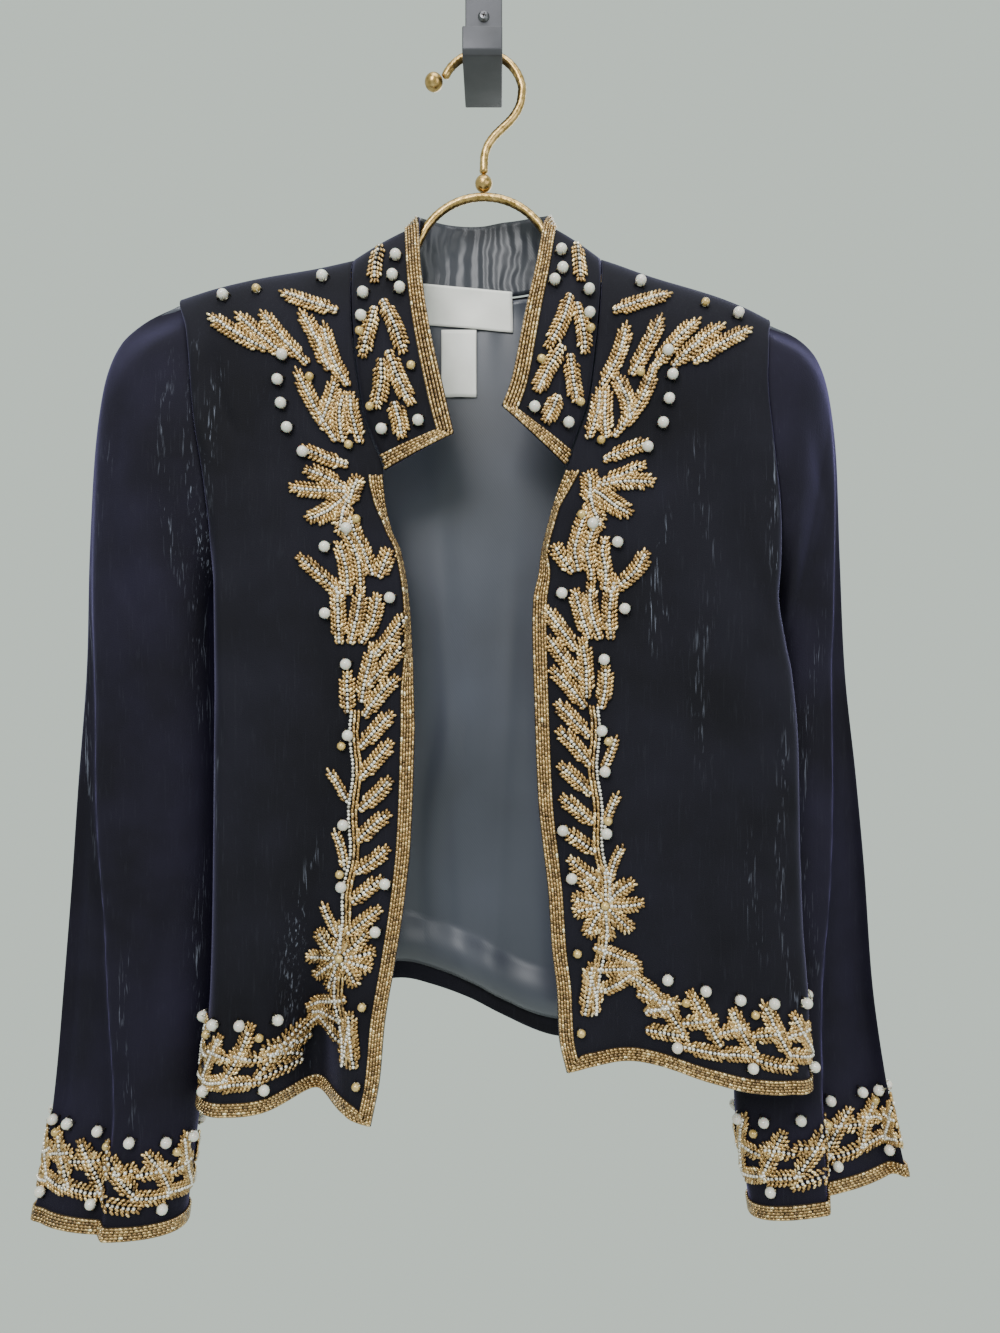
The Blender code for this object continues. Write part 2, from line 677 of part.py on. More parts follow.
def keep_apart(points, fixed, nearest):
    """The points that stay at least a given distance from the fixed ones and each other."""
    kept = [tuple(place) for place in fixed]
    cells = {}

    def cell(place):
        return int(math.floor(place[0] / nearest)), int(math.floor(place[1] / nearest))

    for place in kept:
        cells.setdefault(cell(place), []).append(place)
    chosen = []
    for place in points:
        cu, cv = cell(place)
        near = [q for a in (-1, 0, 1) for b in (-1, 0, 1) for q in cells.get((cu + a, cv + b), [])]
        if all(math.hypot(q[0] - place[0], q[1] - place[1]) >= nearest for q in near):
            cells.setdefault((cu, cv), []).append(tuple(place))
            chosen.append(tuple(place))
    return chosen


def inside_outline(outline, points):
    """Which points lie inside a closed outline."""
    inside = np.zeros(len(points), dtype=bool)
    before = np.roll(outline, 1, axis=0)
    for (u0, v0), (u1, v1) in zip(before, outline):
        crosses = (v0 > points[:, 1]) != (v1 > points[:, 1])
        at = (u1 - u0) * (points[:, 1] - v0) / (v1 - v0 + 1e-12) + u0
        inside ^= crosses & (points[:, 0] < at)
    return inside


def distance_to_line(line, points):
    """Distance from each point to a line of places."""
    nearest = np.full(len(points), 1e9)
    line = np.array(line, dtype=float)
    for start, end in zip(line[:-1], line[1:]):
        step = end - start
        t = np.clip(((points - start) @ step) / max(step @ step, 1e-9), 0, 1)
        nearest = np.minimum(nearest, np.linalg.norm(points - start - t[:, None] * step, axis=1))
    return nearest


def add_trim_lines(fixed, edges, outline, trim):
    """Fix the lines under a trim, so the cloth there has the same triangles as the trim."""
    near, far = trim
    closed = np.vstack([outline, outline[:1]])
    inside = distance_to_line(closed, np.array(far, dtype=float)) > 0.5
    known = {place: i for i, place in enumerate(fixed)}
    near_ids = [known.get(tuple(place)) for place in near]
    far_ids = []
    for place, free in zip(far, inside):
        if free:
            far_ids.append(len(fixed))
            fixed.append(tuple(place))
        else:
            far_ids.append(known.get(tuple(place)))
    for i in range(len(near)):
        pairs = [(near_ids[i], far_ids[i])]
        if i + 1 < len(near):
            pairs += [(far_ids[i], far_ids[i + 1]), (near_ids[i], far_ids[i + 1])]
        edges += [pair for pair in pairs if None not in pair]


def fill_outline(outline, spacing, work=None, trim=None, rows=()):
    """Points and triangles that fill an outline: a grid, given rows, and the beadwork's places.

    A trim is the edge that it follows and the line inside it where it ends, and between the two
    the cloth has no other points, so the trim lies on it everywhere.
    """
    outline = np.array(outline, dtype=float)
    fixed = list(map(tuple, outline))
    edges = [(i, (i + 1) % len(fixed)) for i in range(len(fixed))]
    if trim:
        add_trim_lines(fixed, edges, outline, trim)
    low, high = outline.min(axis=0), outline.max(axis=0)
    us = np.arange(low[0] + spacing[0] / 2, high[0], spacing[0])
    vs = np.arange(low[1] + spacing[1] / 2, high[1], spacing[1])
    grid = np.array([(u, v) for v in vs for u in us])
    chosen = []
    if work is not None:
        beads = work.points()
        closed = np.vstack([outline, outline[:1]])
        good = inside_outline(outline, beads) & (distance_to_line(closed, beads) > BEAD_EDGE_CLEAR)
        chosen = keep_apart(beads[good], fixed, BEAD_CLEAR)
    if len(rows):
        rows = np.array(rows, dtype=float)
        chosen += keep_apart(rows[inside_outline(outline, rows)], fixed + chosen, ROW_CLEAR)
    plain = grid[inside_outline(outline, grid)]
    if work is not None:
        plain = plain[work.height(plain[:, 0], plain[:, 1]) <= 0]
    seeds = keep_apart(plain, fixed + chosen, GRID_CLEAR)
    free = np.array(chosen + seeds)
    if trim:
        free = free[distance_to_line(trim[0], free) > TRIM_WIDTH + TRIM_CLEAR]
    places = [Vector(place) for place in fixed + list(map(tuple, free))]
    result = delaunay_2d_cdt(places, edges, [list(range(len(outline)))], 1, 1e-5)
    points = np.array([tuple(p) for p in result[0]])
    return points, [tuple(face) for face in result[2]]


def cloth_wall(
    name, surface, outline, wall, spacing, work=None, trim=None, rows=(), inner_step=2, closed_round=False
):
    """A cloth piece: a beaded outer face, a plain inner face, and a rim between them.

    The inner face takes every so many of the given rows' points, which inner_step gives.
    """
    outline = np.array(outline, dtype=float)
    outer, outer_faces = fill_outline(outline, spacing, work, trim, rows)
    wider = (spacing[0] * INNER_SPACING, spacing[1] * INNER_SPACING)
    inner, inner_faces = fill_outline(outline, wider, rows=rows[::inner_step])
    count = len(outline)
    height = np.zeros(len(outer))
    if work:
        height = work.height(outer[:, 0], outer[:, 1])
        height[:count] = 0.0
        if trim:
            height[distance_to_line(trim[0], outer) < TRIM_WIDTH + TRIM_CLEAR] = 0.0
    top = surface.at(outer[:, 0], outer[:, 1], height)
    bottom = surface.at(inner[:, 0], inner[:, 1], np.full(len(inner), -wall))
    mesh = bmesh.new()
    top_verts = [mesh.verts.new(p * MM) for p in top]
    bottom_verts = [mesh.verts.new(p * MM) for p in bottom]
    for face in outer_faces:
        mesh.faces.new([top_verts[i] for i in face])
    for face in inner_faces:
        mesh.faces.new([bottom_verts[i] for i in reversed(face)])
    low, high = outline[:, 0].min(), outline[:, 0].max()
    for i in range(count):
        j = (i + 1) % count
        on_low = outline[i][0] == low and outline[j][0] == low
        on_high = outline[i][0] == high and outline[j][0] == high
        if closed_round and (on_low or on_high):
            continue
        mesh.faces.new([top_verts[j], top_verts[i], bottom_verts[i], bottom_verts[j]])
    if closed_round:
        bmesh.ops.remove_doubles(mesh, verts=mesh.verts, dist=2e-5)
    return finish(name, mesh)


def finish(name, mesh):
    """Turn a closed bmesh into a named object with flat triangles."""
    bmesh.ops.triangulate(mesh, faces=mesh.faces)
    bmesh.ops.recalc_face_normals(mesh, faces=mesh.faces)
    if mesh.calc_volume(signed=True) < 0:
        bmesh.ops.reverse_faces(mesh, faces=mesh.faces)
    data = bpy.data.meshes.new(name)
    mesh.to_mesh(data)
    mesh.free()
    piece = bpy.data.objects.new(name, data)
    bpy.context.scene.collection.objects.link(piece)
    return piece


def strip(name, surface, near, far, low, high, closed_round=False):
    """A band that lies on a surface between two rows of places, from one height to another."""
    near, far = np.array(near, float), np.array(far, float)
    rows = []
    for places, height in ((near, low), (near, high), (far, high), (far, low)):
        rows.append(surface.at(places[:, 0], places[:, 1], np.full(len(places), height)))
    mesh = bmesh.new()
    verts = [[mesh.verts.new(p * MM) for p in row] for row in rows]
    if closed_round:
        verts = [row + row[:1] for row in verts]
    near_low, near_high, far_high, far_low = verts
    for i in range(len(near_low) - 1):
        j = i + 1
        mesh.faces.new([near_low[i], near_low[j], near_high[j], near_high[i]])
        mesh.faces.new([far_high[i], far_high[j], far_low[j], far_low[i]])
        for a, b in ((near_high, far_high), (near_low, far_low)):
            mesh.faces.new([a[i], a[j], b[j]])
            mesh.faces.new([a[i], b[j], b[i]])
    if not closed_round:
        mesh.faces.new([row[0] for row in verts])
        mesh.faces.new([row[-1] for row in reversed(verts)])
    return finish(name, mesh)


def spaced(start, end, pitch):
    """Even steps from start to end, each about one pitch long."""
    count = max(2, int(round(abs(end - start) / pitch)) + 1)
    return np.linspace(start, end, count)


def front_edge_downs(side):
    """Depths at which a front and its trim have points down the front edge."""
    return spaced(NOTCH_DOWN[side] + 2, HEM_CORNER_DOWN[side] - TRIM_WIDTH - 4, 13)


def front_hem_places(side):
    """Lengths at which a front and its trim have points along the hem."""
    corner_width = float(front_width(side, HEM_CORNER_DOWN[side]))
    return spaced(TRIM_WIDTH + 4, corner_width - SIDE_GAP, 8)


def front_trim_lines(side):
    """The trim's two edges on a front: the outer one is the cloth's own edge."""
    corner = HEM_CORNER_DOWN[side]
    downs, hem = front_edge_downs(side), front_hem_places(side)
    hem_downs = [float(FRONT_HEM[side].at("down", s)) for s in hem]
    near = [(0.0, down) for down in downs] + [(0.0, corner)] + list(zip(hem, hem_downs))
    far = [(TRIM_WIDTH, down) for down in downs] + [(TRIM_WIDTH, corner - TRIM_WIDTH)]
    far += [(s, down - TRIM_WIDTH) for s, down in zip(hem, hem_downs)]
    far[-1] = (near[-1][0], near[-1][1] - TRIM_WIDTH)
    return near, far


def side_downs(side):
    """Depths of the points down a side seam, closest where the sleeve starts to press on it."""
    start = UNDERARM_DOWN[side]
    return np.concatenate([start + np.array([10.0, 20.0, 30.0, 42.0]), spaced(start + 66, 700, 29)])


def armhole_downs(side):
    """Depths of the points round an armhole, from the shoulder to the underarm."""
    start, end = SHOULDER_DOWN[side], UNDERARM_DOWN[side]
    return start + (end - start) * (1 - np.cos(np.linspace(0, math.pi, 15))) / 2


def front_outline(side):
    """Edge of one front, as places on its surface."""
    near = front_trim_lines(side)[0]
    places = [(0.0, down) for down in spaced(NECK_DOWN, NOTCH_DOWN[side], 14)] + near
    downs = np.append(near[-1][1] - TRIM_WIDTH, side_downs(side)[::-1])
    places += [(float(front_width(side, d)) - SIDE_GAP, float(d)) for d in downs]
    places += [(float(front_width(side, d)) - SIDE_GAP, float(d)) for d in armhole_downs(side)[::-1]]
    for out in spaced(SHOULDER_OUT[side], NECK_OUT[side], 14)[1:-1]:
        down = float(SHOULDER[side].at("down", out))
        places.append((out - float(EDGE[side].at("out", down)), down))
    return places


def front_rows(side):
    """Rows of points over the roll of the shoulder and round the side."""
    rows = []
    for below in ROLL_ROWS:
        for out in spaced(NECK_OUT[side] + 4, SHOULDER_OUT[side] - 6, 15):
            down = float(SHOULDER[side].at("down", out)) + below
            rows.append((out - float(EDGE[side].at("out", down)), down))
    for down in spaced(UNDERARM_DOWN[side] - 40, HEM_CORNER_DOWN[side] - 20, 26):
        flat, full = float(front_flat(side, down)), float(front_width(side, down))
        rows += [(flat + (full - flat) * share, down) for share in (0.0, 0.33, 0.66)]
    return rows


def back_rows():
    """Rows of points over the roll of the back's shoulders and round its sides."""
    rows = []
    for side in (RIGHT, LEFT):
        for below in ROLL_ROWS:
            for out in spaced(NECK_OUT[side] + 6, SHOULDER_OUT[side] - 6, 15):
                rows.append((side * out, float(SHOULDER[side].at("down", out)) + below))
        for down in spaced(UNDERARM_DOWN[side] - 30, 700, 28):
            full = float(back_width(side, down))
            flat = float(SIDE[side].at("out", down) - SIDE[side].at("turn", down))
            rows += [(side * (flat + (full - flat) * share), down) for share in (0.0, 0.5)]
    for down in spaced(440, 690, 40):
        rows += [(out, down) for out in (128, 143, 158, 172)]
    return rows


def back_outline():
    """Edge of the back, as places on its surface."""
    places = [(x, neck_down(x)) for x in spaced(-NECK_OUT[RIGHT], NECK_OUT[LEFT], 11)]
    for side in (LEFT, RIGHT):
        outs = spaced(NECK_OUT[side], SHOULDER_OUT[side], 14)
        shoulder = [(side * out, float(SHOULDER[side].at("down", out))) for out in outs[1:-1]]
        hole = [(side * (float(back_width(side, d)) - SIDE_GAP), float(d)) for d in armhole_downs(side)]
        side_end = float(BACK_HEM.at("down", side * 215))
        downs = np.append(side_downs(side), side_end - TRIM_WIDTH)
        seam = [(side * (float(back_width(side, d)) - SIDE_GAP), float(d)) for d in downs]
        run = shoulder + hole + seam
        if side == LEFT:
            places += run
            places += back_trim_lines()[0][::-1]
        else:
            places += run[::-1]
    return places


def back_trim_lines():
    """The trim's two edges on the back: the outer one is the hem."""
    start, end = [side * (float(back_width(side, 725)) - SIDE_GAP) for side in (RIGHT, LEFT)]
    run = spaced(start, end, 10)
    near = [(float(x), float(BACK_HEM.at("down", x))) for x in run]
    return near, [(x, down - TRIM_WIDTH) for x, down in near]


def build_shell():
    """Fronts, back, sleeves and collar."""
    pieces = []
    for side, word in ((RIGHT, "right"), (LEFT, "left")):
        near, far = front_trim_lines(side)
        outline, work = front_outline(side), front_beadwork(side)
        rows = front_rows(side)
        trim = (near, far)
        pieces.append(cloth_wall("front_" + word, FRONTS[side], outline, SHELL_WALL, (20, 28), work, trim, rows))
        outline, trim, work = sleeve_outline(side), cuff_lines(side), cuff_beadwork(side)
        rows = sleeve_rows(side)
        pieces.append(
            cloth_wall(
                "sleeve_" + word, SLEEVES[side], outline, SHELL_WALL, (15, 30), work, trim, rows, closed_round=True
            )
        )
    near, far = back_trim_lines()
    work, rows = back_beadwork(), back_rows()
    trim = (near, far)
    pieces.append(cloth_wall("back", BACK, back_outline(), SHELL_WALL, (24, 32), work, trim, rows, inner_step=1))
    near, far = collar_trim_lines()
    outline = [(u, COLLAR_FOOT) for u in spaced(0.0, COLLAR_LENGTH, 10)] + near[::-1][1:-1]
    trim = (near, far)
    pieces.append(cloth_wall("collar", COLLAR, outline, COLLAR_WALL, (15, 13), collar_beadwork(), trim))
    return pieces


def cuff_lines(side):
    """The cuff's edge and the line along the top of its trim, round the sleeve."""
    rounds = spaced(-SLEEVE_ROUND / 2, SLEEVE_ROUND / 2, 8)
    length = SLEEVE_LENGTH[side]
    return [(u, length) for u in rounds], [(u, length - TRIM_WIDTH) for u in rounds]


def sleeve_outline(side):
    """Edge of one sleeve opened along its inner line."""
    half = SLEEVE_ROUND / 2
    lengths = np.append(spaced(0.0, SLEEVE_LENGTH[side] - TRIM_WIDTH, 24), SLEEVE_LENGTH[side])
    outline = [(u, 0.0) for u in half * np.linspace(-1, 1, 29)]
    outline += [(half, v) for v in lengths[1:-1]]
    outline += cuff_lines(side)[0][::-1]
    outline += [(-half, v) for v in lengths[::-1][1:-1]]
    return outline


def sleeve_rows(side):
    """Closer rings of points over the cap, and a line of them down the crease."""
    rows = [(u, v) for v in (6.0, 14.0, 26.0, 42.0, 62.0) for u in np.linspace(-110, 110, 15)]
    for v in spaced(130, SLEEVE_LENGTH[side] - 30, 26):
        across = float(SLEEVE[side].at("crease", v / SLEEVE_LENGTH[side]))
        for offset in (-0.09, 0.09):
            rows.append((math.acos(np.clip(across + offset, -0.98, 0.98)) / (2 * math.pi) * SLEEVE_ROUND, v))
    return rows


def collar_trim_lines():
    """The collar's own edge from seam to seam, and the line inside it where its trim ends."""
    wide = TRIM_WIDTH + 1.0
    ends = spaced(wide + 3, COLLAR_LENGTH - wide - 3, 9)
    up = (COLLAR_FOOT, COLLAR_WIDTH * 0.36, COLLAR_WIDTH * 0.68)
    near = [(0.0, v) for v in up] + [(0.0, COLLAR_WIDTH)] + [(u, COLLAR_WIDTH) for u in ends]
    near += [(COLLAR_LENGTH, COLLAR_WIDTH)] + [(COLLAR_LENGTH, v) for v in up[::-1]]
    far = [(wide, v) for v in up] + [(wide, COLLAR_WIDTH - wide)] + [(u, COLLAR_WIDTH - wide) for u in ends]
    far += [(COLLAR_LENGTH - wide, COLLAR_WIDTH - wide)] + [(COLLAR_LENGTH - wide, v) for v in up[::-1]]
    return near, far


def build_trims():
    """The five-row bead trim of the collar, front edges, hems and cuffs, one solid each."""
    pieces = []
    low, high = SEAM_GAP, SEAM_GAP + TRIM_WALL
    for side, word in ((RIGHT, "right"), (LEFT, "left")):
        near, far = front_trim_lines(side)
        pieces.append(strip("trim_front_" + word, FRONTS[side], near, far, low, high))
    near, far = back_trim_lines()
    pieces.append(strip("trim_back", BACK, near, far, low, high))
    near, far = collar_trim_lines()
    pieces.append(strip("trim_collar", COLLAR, near, far, low, high))
    return pieces


def build_cuff_trims():
    """A closed ring of bead trim on each cuff."""
    pieces = []
    for side, word in ((RIGHT, "right"), (LEFT, "left")):
        near, far = [line[:-1] for line in cuff_lines(side)]
        low, high = CUFF_TRIM_GAP, CUFF_TRIM_GAP + TRIM_WALL
        pieces.append(strip("trim_cuff_" + word, SLEEVES[side], near, far, low, high, closed_round=True))
    return pieces


def lining_surface(depth):
    """The lining's place inside the back, a little wavy, as slippery cloth hangs."""

    def place(x, down):
        points = BACK.at(x, down, np.full(np.broadcast(x, down).shape, -depth))
        points[..., 1] += LINING_WAVE * np.sin(x / 11.0) * np.cos(down / 37.0)
        return points

    return Surface(place, 1)


def build_lining():
    """The back lining, where the open fronts show it, and the two labels sewn to it."""
    depth = SHELL_WALL + LINING_GAP
    inside = lining_surface(depth)
    places = [(x, neck_down(x) + 3.0) for x in spaced(-62, 56, 14)]
    places += [(76, 200), (LINING_OUT, 250)]
    places += [(LINING_OUT, down) for down in spaced(275, 660, 26)]
    places += [(x, float(BACK_HEM.at("down", x)) - LINING_SHORT) for x in spaced(LINING_OUT, -LINING_OUT, 14)]
    places += [(-LINING_OUT, down) for down in spaced(660, 275, 26)] + [(-LINING_OUT, 250), (-82, 200)]
    pieces = [cloth_wall("lining_back", inside, places, LINING_WALL, (23, 31))]
    level = depth + LINING_WALL + LABEL_GAP
    across = spaced(NECK_LABEL["start"], NECK_LABEL["end"], 8)
    near = [(x, NECK_LABEL["top"] + NECK_LABEL["slope"] * (x - NECK_LABEL["start"])) for x in across]
    far = [(x, down + NECK_LABEL["tall"]) for x, down in near]
    pieces.append(strip("neck_label", BACK, near, far, -level - LABEL_WALL, -level))
    downs = spaced(CARE_LABEL["top"], CARE_LABEL["foot"], 12)
    near, far = [[(CARE_LABEL[name], down) for down in downs] for name in ("start", "end")]
    pieces.append(strip("care_label", BACK, near, far, -level - LABEL_WALL, -level))
    return pieces


def rod(name, route, radius, sides=10):
    """A round bar along a route of points in the hanger's plane."""
    curve = bpy.data.curves.new(name, "CURVE")
    curve.dimensions = "3D"
    curve.bevel_depth = radius * MM
    curve.bevel_resolution = (sides - 4) // 2
    curve.use_fill_caps = True
    spline = curve.splines.new("POLY")
    spline.points.add(len(route) - 1)
    for point, (x, down) in zip(spline.points, route):
        point.co = (x * MM, HANGER_Y * MM, -down * MM, 1.0)
    piece = bpy.data.objects.new(name, curve)
    bpy.context.scene.collection.objects.link(piece)
    return piece


def hanger_arm(side):
    """Route of one arm, from the arch out to the shoulder's end, under the shoulder seam."""
    below = SHELL_WALL + SEAM_GAP + HANGER_ROD + ARM_UNDER_CLOTH
    route = []
    for out in spaced(96, SHOULDER_OUT[side] - 16, 16):
        down = float(SHOULDER[side].at("down", out))
        route.append((side * out, down + below))
    return route


def build_hanger():
    """The hanger's shoulder rod with its arch, its hook with two balls."""
    arch = []
    for degrees in np.linspace(*ARCH_TURN, 15):
        turn = math.radians(degrees)
        x = ARCH_MIDDLE[0] + ARCH_RADIUS * math.cos(turn)
        arch.append((x, ARCH_MIDDLE[1] - ARCH_RADIUS * math.sin(turn)))
    right_bend = [(-84, 178.5), (-73, 177.5), (-62, 174.5), (-53, 168.5), (-47, 160)]
    left_bend = [(48.5, 160), (54.5, 168.5), (63.5, 174.5), (74, 178), (84, 180)]
    route = hanger_arm(RIGHT)[::-1] + right_bend + arch + left_bend + hanger_arm(LEFT)
    pieces = [rod("hanger", route, HANGER_ROD, 10)]
    stem_foot = ARCH_MIDDLE[1] - ARCH_RADIUS - HANGER_ROD - SEAM_GAP - 2 * BALL_RADIUS
    hook = []
    for degrees in np.linspace(*HOOK_TURN, 15):
        turn = math.radians(degrees)
        x = HOOK_MIDDLE[0] + HOOK_RADIUS * math.cos(turn)
        hook.append((x, HOOK_MIDDLE[1] - HOOK_RADIUS * math.sin(turn)))
    hook += [(26.5, 56), (24, 63), (19.5, 69.5), (13.5, 75.5), (7.5, 81.5), (3, 88.5), (1, 96)]
    hook.append((STEM_X, stem_foot - SEAM_GAP))
    pieces.append(rod("hanger_hook", hook, HANGER_ROD, 10))
    pieces.append(ball("hanger_ball", STEM_X, stem_foot + BALL_RADIUS, BALL_RADIUS))
    (tip_x, tip_down), (next_x, next_down) = hook[:2]
    reach = (END_BALL_RADIUS + 1.0) / math.hypot(tip_x - next_x, tip_down - next_down)
    ball_x, ball_down = tip_x + (tip_x - next_x) * reach, tip_down + (tip_down - next_down) * reach
    pieces.append(ball("hanger_tip", ball_x, ball_down, END_BALL_RADIUS))
    return pieces


def ball(name, x, down, radius):
    """A round ball in the hanger's plane."""
    mesh = bmesh.new()
    bmesh.ops.create_uvsphere(mesh, u_segments=12, v_segments=8, radius=radius * MM)
    bmesh.ops.translate(mesh, verts=mesh.verts, vec=(x * MM, HANGER_Y * MM, -down * MM))
    return finish(name, mesh)


def build_wall_hook():
    """The flat wall hook that the hanger hangs on, and its screw."""
    profile = [
        (0.0, -PLATE_TOP), (0.0, PLATE_DOWN), (-ARM_REACH + 3, PLATE_DOWN), (-ARM_REACH, PLATE_DOWN - 3),
        (-ARM_REACH, LIP_TOP_DOWN), (-ARM_REACH + LIP_THICK, LIP_TOP_DOWN), (-ARM_REACH + LIP_THICK, ARM_TOP_DOWN),
        (-PLATE_THICK, ARM_TOP_DOWN), (-PLATE_THICK, -PLATE_TOP),
    ]
    half = WALL_HOOK_WIDTH / 2
    mesh = bmesh.new()
    face = mesh.faces.new([mesh.verts.new((-half * MM, y * MM, -down * MM)) for y, down in profile])
    grown = bmesh.ops.extrude_face_region(mesh, geom=[face])
    verts = [item for item in grown["geom"] if isinstance(item, bmesh.types.BMVert)]
    bmesh.ops.translate(mesh, verts=verts, vec=(WALL_HOOK_WIDTH * MM, 0, 0))
    pieces = [finish("wall_hook", mesh)]
    mesh = bmesh.new()
    wide, narrow, head = SCREW_RADIUS * MM, SCREW_RADIUS * 0.7 * MM, SCREW_HEAD * MM
    bmesh.ops.create_cone(mesh, cap_ends=True, segments=20, radius1=wide, radius2=narrow, depth=head)
    bmesh.ops.rotate(mesh, verts=mesh.verts, matrix=Matrix.Rotation(math.pi / 2, 3, "X"))
    middle = (0.0, (-PLATE_THICK - SEAM_GAP - SCREW_HEAD / 2) * MM, -SCREW_DOWN * MM)
    bmesh.ops.translate(mesh, verts=mesh.verts, vec=middle)
    pieces.append(finish("screw", mesh))
    return pieces


MATERIALS = {
    "velvet": ((0.012, 0.012, 0.016), 0.85, 0.0),
    "satin": ((0.065, 0.070, 0.085), 0.45, 0.0),
    "bead_trim": ((0.28, 0.16, 0.06), 0.35, 0.7),
    "label": ((0.72, 0.70, 0.64), 0.8, 0.0),
    "hanger_gold": ((0.55, 0.42, 0.20), 0.35, 1.0),
    "hook_grey": ((0.075, 0.075, 0.082), 0.5, 0.6),
}


def material(name):
    """A plain surface for one kind of piece."""
    colour, roughness, metallic = MATERIALS[name]
    made = bpy.data.materials.get(name) or bpy.data.materials.new(name)
    made.use_nodes = True
    shader = made.node_tree.nodes["Principled BSDF"]
    shader.inputs["Base Color"].default_value = (*colour, 1.0)
    shader.inputs["Roughness"].default_value = roughness
    shader.inputs["Metallic"].default_value = metallic
    return made


def dress(pieces, name):
    """Give every piece in a group its material."""
    for piece in pieces:
        piece.data.materials.append(material(name))


def main():
    for piece in list(bpy.data.objects):
        bpy.data.objects.remove(piece, do_unlink=True)
    dress(build_shell(), "velvet")
    dress(build_trims() + build_cuff_trims(), "bead_trim")
    lining = build_lining()
    dress(lining[:1], "satin")
    dress(lining[1:], "label")
    dress(build_hanger(), "hanger_gold")
    dress(build_wall_hook(), "hook_grey")


main()
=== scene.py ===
"""Looks of a cropped velvet evening blazer with beaded borders, on a hanger and a wall hook.

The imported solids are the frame. Each cloth piece here is a thin shell on the same worked-out
surface as its solid, and every bead, pearl and rod is set on those surfaces. Lengths in the
classes are millimetres. "down" is a depth under the hook's centre and "out" is a distance from
the middle towards one side.
"""
from __future__ import annotations

import logging
import math
from dataclasses import dataclass
from dataclasses import field
from enum import Enum
from math import pi
from typing import Callable

import bmesh
import bpy
import numpy as np
from mathutils import Matrix
from mathutils import Vector


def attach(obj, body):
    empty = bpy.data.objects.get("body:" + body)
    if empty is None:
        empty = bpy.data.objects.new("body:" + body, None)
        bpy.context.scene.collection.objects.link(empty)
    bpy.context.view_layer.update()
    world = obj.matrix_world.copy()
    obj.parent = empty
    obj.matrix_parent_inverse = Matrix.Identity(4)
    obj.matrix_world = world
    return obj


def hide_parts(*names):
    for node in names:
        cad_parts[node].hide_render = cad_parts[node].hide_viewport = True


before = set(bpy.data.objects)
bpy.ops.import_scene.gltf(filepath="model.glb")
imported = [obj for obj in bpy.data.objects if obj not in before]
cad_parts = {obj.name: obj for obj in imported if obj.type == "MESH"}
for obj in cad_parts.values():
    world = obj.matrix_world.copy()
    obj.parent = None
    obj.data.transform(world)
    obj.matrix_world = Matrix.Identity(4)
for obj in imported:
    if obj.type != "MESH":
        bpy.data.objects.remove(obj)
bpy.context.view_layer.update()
LOG = logging.getLogger("blazer")
Array = np.ndarray
MM = 0.001
BODY = "root"


class Side(Enum):
    """The wearer's two sides, with the way each lies along X."""

    RIGHT = -1
    LEFT = 1

    @property
    def word(self) -> str:
        """Name of the side for a piece's name."""
        return self.name.lower()


class Profile:
    """Rows of named columns, read at any key on a smooth curve that never overshoots a row."""

    def __init__(self, names: list[str], rows: list[tuple]) -> None:
        """Keep the rows and work out the slope at each of them.

        Args:
            names: the columns after the first one, which is the key.
            rows: one tuple for each key.
        """
        data = np.array(rows, dtype=float)
        self.keys = data[:, 0]
        self.columns = {name: data[:, i + 1] for i, name in enumerate(names)}
        self.slopes = {name: self._slopes(col) for name, col in self.columns.items()}

    def _slopes(self, column: Array) -> Array:
        """Slopes that keep the curve between its rows.

        Args:
            column: the values of one column.

        Returns:
            One slope for each row.
        """
        steps = np.diff(column) / np.diff(self.keys)
        slopes = np.concatenate([steps[:1], (steps[:-1] + steps[1:]) / 2, steps[-1:]])
        for i in range(1, len(column) - 1):
            before, after = steps[i - 1], steps[i]
            slopes[i] = 0.0 if before * after <= 0 else 2 * before * after / (before + after)
        return slopes

    def at(self, name: str, key: Array) -> Array:
        """Value of a column at a key.

        Args:
            name: the column.
            key: one key or an array of them.

        Returns:
            The value at each key.
        """
        keys = self.keys
        key = np.clip(key, keys[0], keys[-1])
        i = np.clip(np.searchsorted(keys, key, side="right") - 1, 0, len(keys) - 2)
        span = keys[i + 1] - keys[i]
        t = (key - keys[i]) / span
        col, slope = self.columns[name], self.slopes[name]
        start = col[i] * (1 + 2 * t) * (1 - t) ** 2 + slope[i] * span * t * (1 - t) ** 2
        end = col[i + 1] * t * t * (3 - 2 * t) + slope[i + 1] * span * t * t * (t - 1)
        return start + end


def smooth_step(value: Array) -> Array:
    """A ramp from 0 to 1 with level ends."""
    value = np.clip(value, 0.0, 1.0)
    return value * value * (3 - 2 * value)


def rounded(share: Array) -> Array:
    """The quarter round that cloth takes over an edge, 0 to 1."""
    share = np.clip(share, 0.0, 1.0)
    return np.sqrt(np.maximum(1 - (1 - share) ** 2, 0.0))


def eased(share: Array, bend: float = 0.08) -> Array:
    """A share from 0 to 1 whose steps are closer near 0, where cloth rolls over an edge."""
    return (np.sqrt(share ** 2 + bend ** 2) - bend) / (math.sqrt(1 + bend ** 2) - bend)


def spaced(start: float, end: float, pitch: float) -> Array:
    """Even steps from start to end, each about one pitch long."""
    count = max(2, int(round(abs(end - start) / pitch)) + 1)
    return np.linspace(start, end, count)


def interpolate(at: Array, keys: Array, rows: Array) -> Array:
    """Rows of numbers read in straight lines between their keys."""
    return np.stack([np.interp(at, keys, column) for column in np.transpose(rows)], axis=-1)


def run_length(points: Array) -> Array:
    """Length along a line of points, from its first to each of them."""
    return np.concatenate([[0], np.cumsum(np.linalg.norm(np.diff(points, axis=0), axis=1))])


